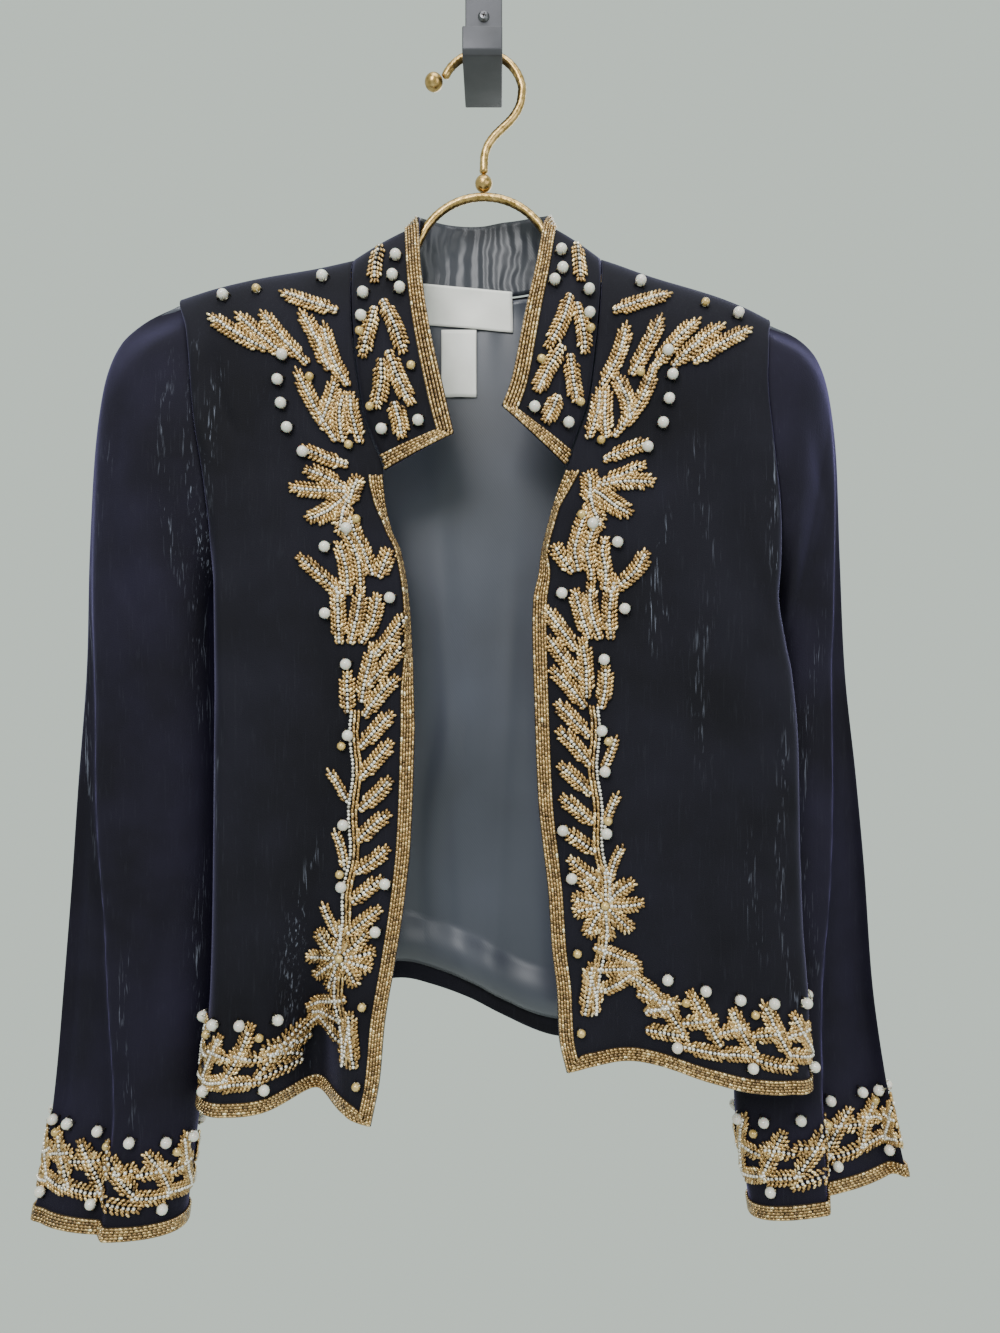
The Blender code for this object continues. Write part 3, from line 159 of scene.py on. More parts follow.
def square_turns(ahead: Array, up: Array) -> Array:
    """Turns with their Z along an up direction and their X as near a heading as that allows.

    Args:
        ahead: a heading at each place.
        up: a unit direction at each place.

    Returns:
        One three by three matrix for each place, with the axes as columns.
    """
    ahead = ahead - up * np.sum(ahead * up, axis=-1, keepdims=True)
    ahead = ahead / np.maximum(np.linalg.norm(ahead, axis=-1, keepdims=True), 1e-9)
    return np.stack([ahead, np.cross(up, ahead), up], axis=-1)


@dataclass(frozen=True)
class Fold:
    """A soft vertical fold: where it lies, how wide and deep, and the depths it runs between."""

    out: float
    lean: float
    width: float
    deep: float
    start: float
    end: float

    def depth(self, out: Array, down: Array) -> Array:
        """How far the fold pushes the cloth in at each place.

        Args:
            out: distance from the middle.
            down: depth under the hook's centre.

        Returns:
            A depth at each place.
        """
        middle = self.out + self.lean * (down - self.start)
        length = self.end - self.start
        fade = smooth_step((down - self.start) / (0.9 * length))
        fade = fade * smooth_step((self.end + 0.35 * length - down) / (0.35 * length))
        return self.deep * fade * np.exp(-(((out - middle) / self.width) ** 2))


@dataclass(frozen=True)
class Crease:
    """A short trough or ridge, from one place to another on the front view."""

    x0: float
    down0: float
    x1: float
    down1: float
    width: float
    deep: float

    def depth(self, x: Array, down: Array) -> Array:
        """How far the crease pushes the cloth in at each place, fading at both its ends.

        Args:
            x: places across the front view.
            down: depth under the hook's centre.

        Returns:
            A depth at each place.
        """
        dx, dd = self.x1 - self.x0, self.down1 - self.down0
        length = math.hypot(dx, dd)
        t = ((x - self.x0) * dx + (down - self.down0) * dd) / length ** 2
        off = ((x - self.x0) * dd - (down - self.down0) * dx) / length
        off = off + 0.06 * length * np.sin(pi * np.clip(t, 0, 1))
        fade = smooth_step((t + 0.12) / 0.35) * smooth_step((1.12 - t) / 0.35)
        return self.deep * fade * np.exp(-((off / self.width) ** 2))


def creases(*rows: tuple) -> list[Crease]:
    """Creases from rows of both ends' x and down, the width and the depth."""
    return [Crease(*row) for row in rows]


SHOULDER = {
    Side.RIGHT: Profile(["down"], [(0, 150), (88, 170), (113, 175.5), (151, 182), (180, 188.7), (206, 197)]),
    Side.LEFT: Profile(["down"], [(0, 150), (80, 169), (115, 181), (158, 194), (177, 201.4), (196, 211)]),
}

# Neck edge and then front edge of each front. roll is how far the edge turns back, in degrees.
EDGE = {
    Side.RIGHT: Profile(
        ["out", "roll"],
        [
            (170, 88, 0), (206, 86, 0), (236, 84, 0), (276, 79, 0), (300, 72, 0),
            (322, 64, 0), (340, 64, 40), (359, 61, 72), (373, 55, 76), (401, 50, 76),
            (440, 47, 62), (464, 45, 30), (487, 43.5, 8), (516, 44, 0), (563, 46, 0),
            (601, 50, 0), (640, 56, 0), (682, 63, 0), (716, 66, 0), (747, 72, 0),
        ],
    ),
    Side.LEFT: Profile(
        ["out", "roll"],
        [
            (170, 81, 0), (206, 78, 0), (239, 75, 0), (276, 70, 0), (300, 62, 0),
            (319, 55, 0), (331, 51, 30), (347, 47, 66), (371, 41, 70), (388, 38, 40),
            (405, 33.5, 10), (420, 32.7, 0), (470, 34, 0), (535, 36.6, 0), (568, 40, 0),
            (594, 43, 0), (632, 45.5, 0), (659, 48.7, 0), (689, 50.2, 0), (713, 55.4, 0),
        ],
    ),
}

# Armhole and then side of the body: the radius at the side, where front and back end, and how
# far the sleeve that hangs behind pushes the back forward.
FLANK_COLUMNS = ["out", "turn", "front_y", "back_y", "push"]
FLANK = {
    Side.RIGHT: Profile(
        FLANK_COLUMNS,
        [
            (170, 206, 2, -42, -42, 0), (197, 206, 2, -42, -42, 0), (230, 194, 5, -78, -22, 0),
            (287, 188, 7, -83, -16, 0), (330, 182, 9, -80, -18, 0), (360, 180, 10, -73, -24, 0),
            (385, 180, 11, -61, -34, 0), (402, 181, 12, -48, -48, 0), (468, 181, 14, -48, -48, 0),
            (584, 182, 15, -48, -48, 0), (660, 184, 17, -48, -48, 0), (747, 193, 24, -50, -50, 0),
        ],
    ),
    Side.LEFT: Profile(
        FLANK_COLUMNS,
        [
            (170, 196, 2, -42, -42, 0), (211, 196, 2, -42, -42, 0), (235, 189, 5, -77, -22, 0),
            (261, 187, 6, -82, -17, 0), (296, 190, 7, -83, -16, 0), (350, 197, 9, -76, -22, 0),
            (385, 199, 10, -61, -36, 0), (402, 199, 11, -50, -50, 0), (432, 202, 12, -64, -64, 40),
            (453, 206, 12, -66, -66, 48), (504, 210, 12, -68, -68, 50), (560, 211, 12, -68, -68, 50),
            (616, 213, 12, -68, -68, 50), (674, 217, 12, -68, -68, 50), (740, 218, 12, -68, -68, 50),
        ],
    ),
}

FRONT_HEM = {
    Side.RIGHT: Profile(
        ["down"], [(0, 747), (8, 746), (22, 741), (42, 738), (64, 739), (90, 741), (190, 742)]
    ),
    Side.LEFT: Profile(
        ["down"], [(0, 712.5), (16, 710), (34, 709), (63, 711), (94, 719), (124, 726), (200, 729)]
    ),
}
BACK_HEM = Profile(
    ["down"],
    [
        (-240, 742), (-190, 741), (-150, 720), (-105, 688), (-62, 671), (-38, 677), (-10, 687),
        (12, 698), (34, 707), (56, 713), (120, 722), (217, 729), (260, 729),
    ],
)
# Long soft ridges of the lining: x at 300 down, lean, width, height and where each starts.
LINING_RIDGES = [(-34, 0.06, 9, 1.4, 250), (26, -0.05, 7, 1.1, 330)]
FRONT_FOLDS = {
    Side.RIGHT: [
        Fold(112, 0.02, 19, 40, 590, 742),
        Fold(150, 0.03, 12, 2.5, 300, 620),
        Fold(128, -0.10, 9, 2, 250, 450),
    ],
    Side.LEFT: [
        Fold(100, 0, 27, 13, 560, 712),
        Fold(160, 0.04, 13, 3, 270, 640),
        Fold(190, 0.05, 9, 3.5, 420, 700),
    ],
}
BACK_FOLDS = [
    Fold(-120, 0.04, 22, 7, 430, 700),
    Fold(-52, -0.03, 16, 5, 300, 660),
    Fold(30, 0.05, 20, 6, 360, 700),
    Fold(96, 0.02, 17, 7, 420, 720),
]
COLLAR_EDGE = Profile(
    ["x", "y", "down"],
    [
        (0.00, -17.6, -94, 299), (0.10, -24, -93, 271), (0.20, -34, -89, 226), (0.28, -39.5, -80, 190),
        (0.34, -43, -58, 147), (0.37, -44.5, -42, 137), (0.41, -36, -26, 133), (0.45, -22, -18, 133),
        (0.50, -2, -14, 132), (0.55, 17, -17, 130), (0.59, 34, -26, 131), (0.63, 45.5, -42, 136),
        (0.66, 42, -58, 146), (0.72, 36, -77, 182), (0.80, 28, -87, 219), (0.90, 19, -92, 264),
        (1.00, 13, -94, 281),
    ],
)

# Rings of each sleeve. step is how far the part outside the long crease lies back.
RING = ["outer", "outer_down", "inner", "inner_down", "middle_y", "half", "crease", "step"]
SLEEVE = {
    Side.RIGHT: Profile(
        RING,
        [
            (0.00, 206, 197, 181, 402, -46, 34, 0.9, 0), (0.04, 232, 210, 182.4, 414, -45, 36, 0.9, 0),
            (0.08, 249, 227, 182.6, 430, -44, 37, 0.9, 0), (0.13, 259, 256, 182.6, 452, -43, 37, 0.88, 0),
            (0.20, 266, 306, 182.6, 482, -43, 36, 0.86, 2), (0.30, 270, 372, 182.8, 520, -43, 34, 0.84, 5),
            (0.42, 273, 450, 183.2, 566, -42, 32, 0.75, 9), (0.54, 279, 528, 184.2, 612, -42, 31, 0.60, 12),
            (0.65, 284, 598, 185.6, 656, -42, 29, 0.42, 14), (0.77, 290, 674, 190.6, 706, -42, 28, 0.22, 14),
            (0.88, 296, 746, 197, 758, -43, 28, 0.02, 13), (1.00, 308, 827, 205, 830, -46, 29, -0.06, 9),
        ],
    ),
    Side.LEFT: Profile(
        RING,
        [
            (0.00, 196, 211, 199, 402, -46, 34, 0.9, 0), (0.04, 218, 222, 202, 413, -43, 32, 0.9, 0),
            (0.08, 231, 236, 203.5, 427, -40, 29, 0.9, 0), (0.13, 240, 262, 205.5, 447, -38, 25, 0.86, 2),
            (0.20, 246, 305, 204, 476, -36, 23, 0.80, 4), (0.30, 249, 372, 196, 516, -35, 22, 0.72, 7),
            (0.42, 253, 450, 184, 562, -34, 22, 0.64, 11), (0.54, 261, 526, 178, 606, -34, 22, 0.52, 14),
            (0.65, 267, 592, 176, 648, -34, 22, 0.38, 17), (0.77, 272, 664, 175, 698, -34, 22, 0.22, 19),
            (0.88, 281, 735, 176, 752, -36, 23, 0.10, 21), (1.00, 295, 803, 187, 828, -38, 25, -0.10, 22),
        ],
    ),
}

# Small creases, in the front view: x and down of both ends, width and depth.
FRONT_CREASES = creases(
    (-176, 236, -160, 300, 5, 1.8), (-190, 262, -172, 318, 4, -1.4),
    (-132, 262, -150, 330, 6, 1.4), (-172, 330, -166, 520, 5.5, 1.6),
    (-150, 400, -158, 600, 8, 1.4), (-92, 520, -104, 720, 6, 1.6),
    (-134, 600, -142, 735, 7, -1.6), (120, 330, 138, 500, 7, 1.5),
    (128, 380, 118, 470, 3.5, -1.2), (168, 300, 196, 440, 6, 2),
    (186, 380, 206, 560, 5, 1.6), (150, 540, 160, 690, 8, 1.7),
    (84, 330, 96, 430, 6, 1.1),
)
SLEEVE_CREASES = {
    Side.RIGHT: creases(
        (-228, 236, -240, 330, 6, 2), (-246, 300, -226, 420, 7, 1.8),
        (-214, 420, -232, 560, 8, 2), (-262, 470, -252, 640, 5, 2.2),
        (-206, 600, -214, 740, 6, 1.6), (-236, 700, -226, 800, 5, 1.8),
        (-276, 560, -286, 760, 7, 1.6),
    ),
    Side.LEFT: creases(
        (222, 250, 234, 340, 6, 1.8), (238, 330, 224, 430, 6, 1.6),
        (246, 420, 238, 560, 5, 2), (258, 540, 268, 700, 6, 1.6),
        (240, 620, 236, 760, 4.5, 2.2), (262, 700, 276, 800, 6, 1.5),
    ),
}
BACK_CREASES = creases(
    (-150, 250, -128, 360, 8, -1.8), (140, 262, 118, 380, 8, -1.8),
    (-90, 300, -100, 460, 7, -1.5), (70, 300, 84, 470, 7, -1.5),
    (-20, 480, -30, 660, 9, -1.8), (60, 520, 72, 690, 8, -1.6),
)


# Crush of the pile everywhere, and how much of the front's lines shows at the back of the jacket; the crushed
# lines are drawn lighter, partly as painted sheen highlight.
FAINT_CRUSH_AND_SHEEN = 0.015
BACK_CRUSH_AND_SHEEN = 0.3
FRONT_BEFORE_Y = -36.0

# Lines of crushed pile in the front view, drawn lighter partly as painted sheen highlights along creases:
# both ends, width and strength.
CRUSH_AND_SHEEN_LINES = creases(
    (-186, 240, -177, 405, 2.4, 1), (-172, 500, -176, 620, 2.4, 0.62),
    (-178, 330, -172, 560, 3.5, 0.69), (-182, 560, -184, 735, 3, 0.56),
    (-168, 250, -176, 330, 3.5, 0.88), (-120, 600, -116, 742, 4.5, 0.69),
    (-104, 560, -120, 640, 3, 0.5), (-204, 250, -196, 400, 4, 0.44),
    (-246, 300, -262, 460, 4.5, 0.38), (-268, 420, -250, 620, 3, 0.56),
    (-236, 640, -230, 760, 2.5, 0.56), (122, 350, 112, 440, 3, 1),
    (104, 380, 124, 420, 2.5, 0.62), (192, 300, 206, 440, 3, 0.94),
    (150, 400, 146, 520, 4, 0.44), (204, 460, 212, 700, 2.5, 0.56),
    (176, 560, 184, 640, 3.5, 0.5), (234, 400, 236, 700, 3, 0.5),
    (140, 300, 152, 380, 4, 0.38),
)


def crushed_pile_and_sheen(points: Array) -> Array:
    """Strength of the crushed pile, and of the painted sheen highlight drawn with it, at each point.

    Args:
        points: places in millimetres.

    Returns:
        A value from 0 to 1 for each.
    """
    x, down = points[:, 0], -points[:, 2]
    total = np.full(len(points), FAINT_CRUSH_AND_SHEEN)
    for line in CRUSH_AND_SHEEN_LINES:
        total = total + line.depth(x, down) * np.where(points[:, 1] < FRONT_BEFORE_Y, 1.0, BACK_CRUSH_AND_SHEEN)
    return np.clip(total, 0, 1)


class ClothSurface:
    """A cloth surface of two lengths that can also be read at a height over its outer face."""

    facing: int = 1

    def place(self, u: Array, v: Array) -> Array:
        """Points of the surface, in millimetres."""
        raise NotImplementedError

    def normal(self, u: Array, v: Array) -> Array:
        """Unit directions out of the cloth's outer face.

        Args:
            u: first length along the cloth.
            v: second length along the cloth.

        Returns:
            One direction for each place.
        """
        step = 0.4
        along = self.place(np.asarray(u) + step, v) - self.place(np.asarray(u) - step, v)
        across = self.place(u, np.asarray(v) + step) - self.place(u, np.asarray(v) - step)
        normal = np.cross(along, across) * self.facing
        return normal / np.maximum(np.linalg.norm(normal, axis=-1, keepdims=True), 1e-9)

    def at(self, u: Array, v: Array, height: Array | float = 0.0) -> Array:
        """Points at a height over the surface."""
        return self.place(u, v) + self.normal(u, v) * np.broadcast_to(height, np.shape(u))[..., None]

    def stand(self, u: Array, v: Array, angle: Array) -> Array:
        """Turns that stand a bead on the cloth, with its X along an angle and its Z outwards.

        Args:
            u: first length of each place.
            v: second length of each place.
            angle: heading at each place, in radians from u towards v.

        Returns:
            One three by three matrix for each place, with the axes as columns.
        """
        step = 0.5
        du, dv = np.cos(angle) * step, np.sin(angle) * step
        ahead = self.place(u + du, v + dv) - self.place(u - du, v - dv)
        return square_turns(ahead, self.normal(u, v))


@dataclass
class FrontPanel(ClothSurface):
    """One front: u runs along the cloth from the free edge and v is the depth."""

    side: Side
    ridge_y: float = -42.0
    front_y: float = -86.0
    roll_height: float = 60.0
    ridge_gap: float = 0.35
    edge_roll: float = 11.0
    neck_down: float = 170.0

    def __post_init__(self) -> None:
        """Work out the sizes that differ between the two fronts."""
        right = self.side is Side.RIGHT
        self.facing = -self.side.value
        self.neck_out = 88.0 if right else 81.0
        self.shoulder_out = 206.0 if right else 196.0
        self.shoulder_down = 197.0 if right else 211.0
        self.underarm_down = 402.0
        self.notch_down = 322.0 if right else 319.0
        self.corner_down = 747.0 if right else 712.5

    def seam_y(self, down: Array) -> Array:
        """Where the front ends: on the armhole, and below it on the side seam."""
        flank = FLANK[self.side]
        return np.where(down > self.underarm_down, flank.at("back_y", down), flank.at("front_y", down))

    def turn_length(self, down: Array) -> Array:
        """Length of the quarter round at the side.

        Args:
            down: depth under the hook's centre.

        Returns:
            A length at each depth.
        """
        turn = FLANK[self.side].at("turn", down)
        depth = np.abs(self.seam_y(down) - self.front_y)
        return pi / 2 * np.sqrt((turn ** 2 + depth ** 2) / 2)

    def flat(self, down: Array) -> Array:
        """Length of the level part.

        Args:
            down: depth under the hook's centre.

        Returns:
            A length at each depth.
        """
        roll = np.radians(EDGE[self.side].at("roll", down))
        spare = self.edge_roll * (1 - np.cos(roll))
        flank = FLANK[self.side]
        return flank.at("out", down) - flank.at("turn", down) - EDGE[self.side].at("out", down) + spare

    def width(self, down: Array) -> Array:
        """Length along the cloth from the free edge to the armhole or side seam."""
        return self.flat(down) + self.turn_length(down)

    def place(self, u: Array, v: Array) -> Array:
        """Points of the front.

        Args:
            u: first length along the cloth.
            v: second length along the cloth.

        Returns:
            Points in millimetres.
        """
        s, down = np.broadcast_arrays(np.asarray(u, float), np.asarray(v, float))
        edge, flank = EDGE[self.side], FLANK[self.side]
        roll = np.radians(edge.at("roll", down))
        flat = self.flat(down)
        level = np.minimum(s, flat)
        rolled = np.clip(level, None, self.edge_roll)
        out = edge.at("out", down) + rolled * np.cos(roll) + np.maximum(level - self.edge_roll, 0.0)
        below = down - SHOULDER[self.side].at("down", out)
        y = self.ridge_y - self.ridge_gap + (self.front_y - self.ridge_y) * rounded(below / self.roll_height)
        for fold in FRONT_FOLDS[self.side]:
            y = y + fold.depth(out, down)
        y = y + (self.edge_roll - rolled) * np.sin(roll)
        angle = np.clip((s - flat) / self.turn_length(down), 0.0, 1.0) * pi / 2
        end_y = np.maximum(self.seam_y(down), y)
        out = out + flank.at("turn", down) * np.sin(angle)
        y = y + (end_y - y) * (1 - np.cos(angle))
        x = self.side.value * out
        calm = smooth_step(below / 20) * smooth_step((self.width(down) - s) / 14)
        for crease in FRONT_CREASES:
            y = y + crease.depth(x, down) * calm
        return np.stack([x, y, -down], axis=-1)

    def hem_down(self, s: Array) -> Array:
        """Depth of the hem at a length from the front corner."""
        return FRONT_HEM[self.side].at("down", s)

    def trim_lines(self, wide: float) -> tuple[Array, Array]:
        """The two edges of the bead trim, down the front edge and along the hem.

        Args:
            wide: width of the trim.

        Returns:
            Places of the outer edge and of the inner edge, one for one.
        """
        downs = spaced(self.notch_down + 2, self.corner_down - wide - 4, 6)
        hem = spaced(wide + 4, float(self.width(self.corner_down)) - 0.4, 5)
        hem_downs = self.hem_down(hem)
        near = [(0.0, d) for d in downs] + [(0.0, self.corner_down)] + list(zip(hem, hem_downs))
        far = [(wide, d) for d in downs] + [(wide, self.corner_down - wide)]
        far += list(zip(hem, hem_downs - wide))
        return np.array(near), np.array(far)

    def cover(self, share_u: Array, share_v: Array) -> tuple[Array, Array]:
        """Places that cover the whole front evenly.

        Args:
            share_u: 0 at the free edge to 1 at the side.
            share_v: 0 at the shoulder to 1 at the hem.

        Returns:
            The lengths u and v of each place.
        """
        out = self.neck_out + (self.shoulder_out - self.neck_out) * share_u
        top = SHOULDER[self.side].at("down", out)
        for _ in range(4):
            s = share_u * self.width(top)
            top = SHOULDER[self.side].at("down", EDGE[self.side].at("out", top) + s)
        low = self.hem_down(share_u * float(self.width(self.corner_down)))
        down = top + (low - top) * eased(share_v)
        return share_u * (self.width(down) - 0.2), down


@dataclass
class BackPanel(ClothSurface):
    """The back: u runs across along the cloth and v is the depth."""

    ridge_y: float = -42.0
    back_y: float = -14.0
    roll_height: float = 48.0
    ridge_gap: float = 0.35
    neck_top: float = 170.0
    neck_dip: float = 15.0
    right_neck: float = 88.0
    left_neck: float = 81.0

    def width(self, side: Side, down: Array) -> Array:
        """Length from the middle to one armhole or side seam.

        Args:
            side: the side.
            down: depth under the hook's centre.

        Returns:
            A length at each depth.
        """
        turn = FLANK[side].at("turn", down)
        depth = np.abs(FLANK[side].at("back_y", down) - self.back_y)
        return FLANK[side].at("out", down) - turn + pi / 2 * np.sqrt((turn ** 2 + depth ** 2) / 2)

    def neck_down(self, x: Array) -> Array:
        """Depth of the seam to the collar."""
        reach = np.where(np.asarray(x) < 0, self.right_neck, self.left_neck)
        return self.neck_top + self.neck_dip * (1 - (x / reach) ** 2)

    def place(self, u: Array, v: Array) -> Array:
        """Points of the back.

        Args:
            u: first length along the cloth.
            v: second length along the cloth.

        Returns:
            Points in millimetres.
        """
        x, down = np.broadcast_arrays(np.asarray(u, float), np.asarray(v, float))
        points = np.zeros(x.shape + (3,))
        for side in Side:
            sign = side.value
            away = np.maximum(sign * x, 0.0)
            turn, end_y = FLANK[side].at("turn", down), FLANK[side].at("back_y", down)
            flat = FLANK[side].at("out", down) - turn
            out = np.minimum(away, flat)
            below = down - SHOULDER[side].at("down", out)
            rolled = (self.back_y - self.ridge_y) * rounded(below / self.roll_height)
            y = self.ridge_y + self.ridge_gap + rolled
            y = y - FLANK[side].at("push", down) * smooth_step((out - 128) / 44)
            for fold in BACK_FOLDS:
                y = y - fold.depth(sign * out, down)
            calm = smooth_step(below / 20) * smooth_step((flat - away) / 14)
            for crease in BACK_CREASES:
                y = y + crease.depth(sign * out, down) * calm
            length = pi / 2 * np.sqrt((turn ** 2 + (end_y - self.back_y) ** 2) / 2)
            angle = np.clip((away - flat) / length, 0, 1) * pi / 2
            end_y = np.minimum(end_y, y)
            own_x = sign * (out + turn * np.sin(angle))
            own = np.stack([own_x, y + (end_y - y) * (1 - np.cos(angle)), -down], -1)
            points = np.where((sign * x >= 0)[..., None], own, points)
        return points

    def hem_down(self, x: Array) -> Array:
        """Depth of the hem at a length across."""
        return BACK_HEM.at("down", x)

    def trim_lines(self, wide: float) -> tuple[Array, Array]:
        """The two edges of the bead trim along the hem.

        Args:
            wide: width of the trim.

        Returns:
            Places of the outer edge and of the inner edge, one for one.
        """
        x = spaced(-float(self.width(Side.RIGHT, 725)) + 0.4, float(self.width(Side.LEFT, 725)) - 0.4, 5)
        down = self.hem_down(x)
        return np.stack([x, down], -1), np.stack([x, down - wide], -1)

    def cover(self, share_u: Array, share_v: Array) -> tuple[Array, Array]:
        """Places that cover the whole back evenly, from the wearer's right to left.

        Args:
            share_u: shares across, from 0 to 1.
            share_v: shares down, from 0 to 1.

        Returns:
            The lengths u and v of each place.
        """
        across = 2 * share_u - 1
        top = np.full(np.shape(across), 190.0)
        for _ in range(8):
            top = self.top_down(across * self.reach(across, top))
        low = self.hem_down(across * self.reach(across, np.full(np.shape(across), 725.0)))
        down = top + (low - top) * eased(share_v)
        return across * (self.reach(across, down) - 0.2), down

    def reach(self, across: Array, down: Array) -> Array:
        """Length from the middle to the armhole or side seam of each place's own side."""
        return np.where(across < 0, self.width(Side.RIGHT, down), self.width(Side.LEFT, down))

    def top_down(self, x: Array) -> Array:
        """Depth of the upper edge: the collar's seam, and outside it the shoulder.

        Args:
            x: places across.

        Returns:
            A depth at each place.
        """
        out = np.abs(x)
        slope = np.where(x < 0, SHOULDER[Side.RIGHT].at("down", out), SHOULDER[Side.LEFT].at("down", out))
        on_neck = (x > -self.right_neck) & (x < self.left_neck)
        return np.where(on_neck, self.neck_down(np.clip(x, -self.right_neck, self.left_neck)), slope)


@dataclass
class Collar(ClothSurface):
    """The band collar: u runs round the neck, v from the seam to the free edge."""

    fronts: dict[Side, FrontPanel]
    back: BackPanel
    length: float = 440.0
    wide: float = 50.0
    foot: float = 1.2
    bulge: float = 3.0
    neck_start: float = 0.34
    neck_end: float = 0.66
    run_out: float = 400.0
    facing: int = -1

    def __post_init__(self) -> None:
        """Read the seam once from the panels that it is sewn to."""
        self.shares = np.linspace(0, 1, 121)
        self.seam = np.array([self._seam_point(share) for share in self.shares])

    def _seam_point(self, share: float) -> Array:
        """One point of the seam, down a front's neck edge or across the back of the neck.

        Args:
            share: shares of its length.

        Returns:
            The point.
        """
        right, left = self.fronts[Side.RIGHT], self.fronts[Side.LEFT]
        if share <= self.neck_start:
            down = right.notch_down + (right.neck_down - right.notch_down) * share / self.neck_start
            return right.place(0.0, down)
        if share >= self.neck_end:
            part = (share - self.neck_end) / (1 - self.neck_end)
            return left.place(0.0, left.neck_down + (left.notch_down - left.neck_down) * part)
        part = (share - self.neck_start) / (self.neck_end - self.neck_start)
        x = -self.back.right_neck + (self.back.right_neck + self.back.left_neck) * part
        return self.back.place(x, self.back.neck_down(x))

    def place(self, u: Array, v: Array) -> Array:
        """Points of the collar.

        Args:
            u: first length along the cloth.
            v: second length along the cloth.

        Returns:
            Points in millimetres.
        """
        u, v = np.broadcast_arrays(np.asarray(u, float) / self.length, np.asarray(v, float) / self.wide)
        share = np.clip(u, 0.0, 1.0)
        low = interpolate(share, self.shares, self.seam)
        edge_x, edge_y, edge_down = [COLLAR_EDGE.at(name, share) for name in ("x", "y", "down")]
        high = np.stack([edge_x, edge_y, -edge_down], -1)
        points = low + (high - low) * v[..., None]
        forward = low[..., 1] < self.fronts[Side.RIGHT].ridge_y - 10
        points[..., 1] += np.where(forward, -1, 0) * self.bulge * np.sin(pi * v)
        points[..., 0] += (u - share) * self.run_out
        return points

    def trim_lines(self, wide: float) -> tuple[Array, Array]:
        """The two edges of the bead trim, up one end, along the free edge and down the other end.

        Args:
            wide: width of the trim.

        Returns:
            Places of the outer edge and of the inner edge, one for one.
        """
        ends = spaced(wide + 3, self.length - wide - 3, 5)
        up = np.linspace(self.foot, self.wide * 0.68, 5)
        near = [(0.0, v) for v in up] + [(0.0, self.wide)] + [(u, self.wide) for u in ends]
        near += [(self.length, self.wide)] + [(self.length, v) for v in up[::-1]]
        far = [(wide, v) for v in up] + [(wide, self.wide - wide)] + [(u, self.wide - wide) for u in ends]
        far += [(self.length - wide, self.wide - wide)] + [(self.length - wide, v) for v in up[::-1]]
        return np.array(near), np.array(far)

    def cover(self, share_u: Array, share_v: Array) -> tuple[Array, Array]:
        """Places that cover the whole collar."""
        return share_u * self.length, self.foot + (self.wide - self.foot) * share_v


@dataclass
class Sleeve(ClothSurface):
    """One sleeve: u runs round it from its outer line, v from the armhole to the cuff."""

    side: Side
    front: FrontPanel
    back: BackPanel
    round: float = 250.0
    seam_gap: float = 0.5
    trim_steps: int = 60

    def __post_init__(self) -> None:
        """Work out the sizes that differ between the two sleeves."""
        self.facing = self.side.value
        self.length = 620.0 if self.side is Side.RIGHT else 600.0

    def armhole(self, angle: Array) -> Array:
        """Points of the armhole: the shoulder at 0, the underarm at pi, the front above 0.

        Args:
            angle: headings round it, in radians.

        Returns:
            Points in millimetres.
        """
        start, end = self.front.shoulder_down, self.front.underarm_down
        down = start + (end - start) * (1 - np.cos(angle)) / 2
        ahead = self.front.place(self.front.width(down), down)
        behind = self.back.place(self.side.value * self.back.width(self.side, down), down)
        return np.where((np.asarray(angle) >= 0)[..., None], ahead, behind)

    def ring(self, share: Array, across: Array) -> tuple[Array, Array]:
        """Out and down on one ring, from its inner line at -1 to its outer line at 1.

        Args:
            share: shares of its length.
            across: -1 inside to 1 outside.

        Returns:
            Distances out and depths.
        """
        table = SLEEVE[self.side]
        outer, inner = table.at("outer", share), table.at("inner", share)
        outer_down, inner_down = table.at("outer_down", share), table.at("inner_down", share)
        out = (outer + inner) / 2 + across * (outer - inner) / 2
        return out, (outer_down + inner_down) / 2 + across * (outer_down - inner_down) / 2

    def place(self, u: Array, v: Array) -> Array:
        """Points of the sleeve.

        Args:
            u: first length along the cloth.
            v: second length along the cloth.

        Returns:
            Points in millimetres.
        """
        u, v = np.broadcast_arrays(np.asarray(u, float), np.asarray(v, float))
        table = SLEEVE[self.side]
        angle = 2 * pi * u / self.round
        angle = np.where(angle > pi, angle - 2 * pi, angle)
        angle = np.where(angle < -pi, angle + 2 * pi, angle)
        share = v / self.length
        across = np.cos(angle)
        out, down = self.ring(share, across)
        bulge = np.sign(np.sin(angle)) * np.abs(np.sin(angle)) ** 0.85
        y = table.at("middle_y", share) - bulge * table.at("half", share)
        step_back = smooth_step((across - table.at("crease", share)) / 0.16 + 0.5)
        y = y + table.at("step", share) * step_back * smooth_step(np.sin(angle) * 1.6)
        for crease in SLEEVE_CREASES[self.side]:
            y = y + crease.depth(self.side.value * out, down) * np.sin(angle)
        ring = np.stack([self.side.value * out, y, -down], axis=-1)
        seam = self.armhole(angle)
        seam[..., 0] += self.side.value * self.seam_gap
        start_out, start_down = self.ring(np.zeros_like(share), across)
        drift = np.stack([self.side.value * (out - start_out), np.zeros_like(out), start_down - down], -1)
        blend = smooth_step(share / 0.13)[..., None]
        return (seam + drift) * (1 - blend) + ring * blend

    def trim_lines(self, wide: float) -> tuple[Array, Array]:
        """The two edges of the bead trim round the cuff.

        Args:
            wide: width of the trim.

        Returns:
            Places of the outer edge and of the inner edge, one for one.
        """
        u = np.linspace(-self.round / 2, self.round / 2, self.trim_steps + 1)
        near = np.stack([u, np.full(len(u), self.length)], -1)
        return near, np.stack([u, np.full(len(u), self.length - wide)], -1)

    def cover(self, share_u: Array, share_v: Array) -> tuple[Array, Array]:
        """Places that cover the whole sleeve, opened along its inner line."""
        return (share_u - 0.5) * self.round, share_v * self.length


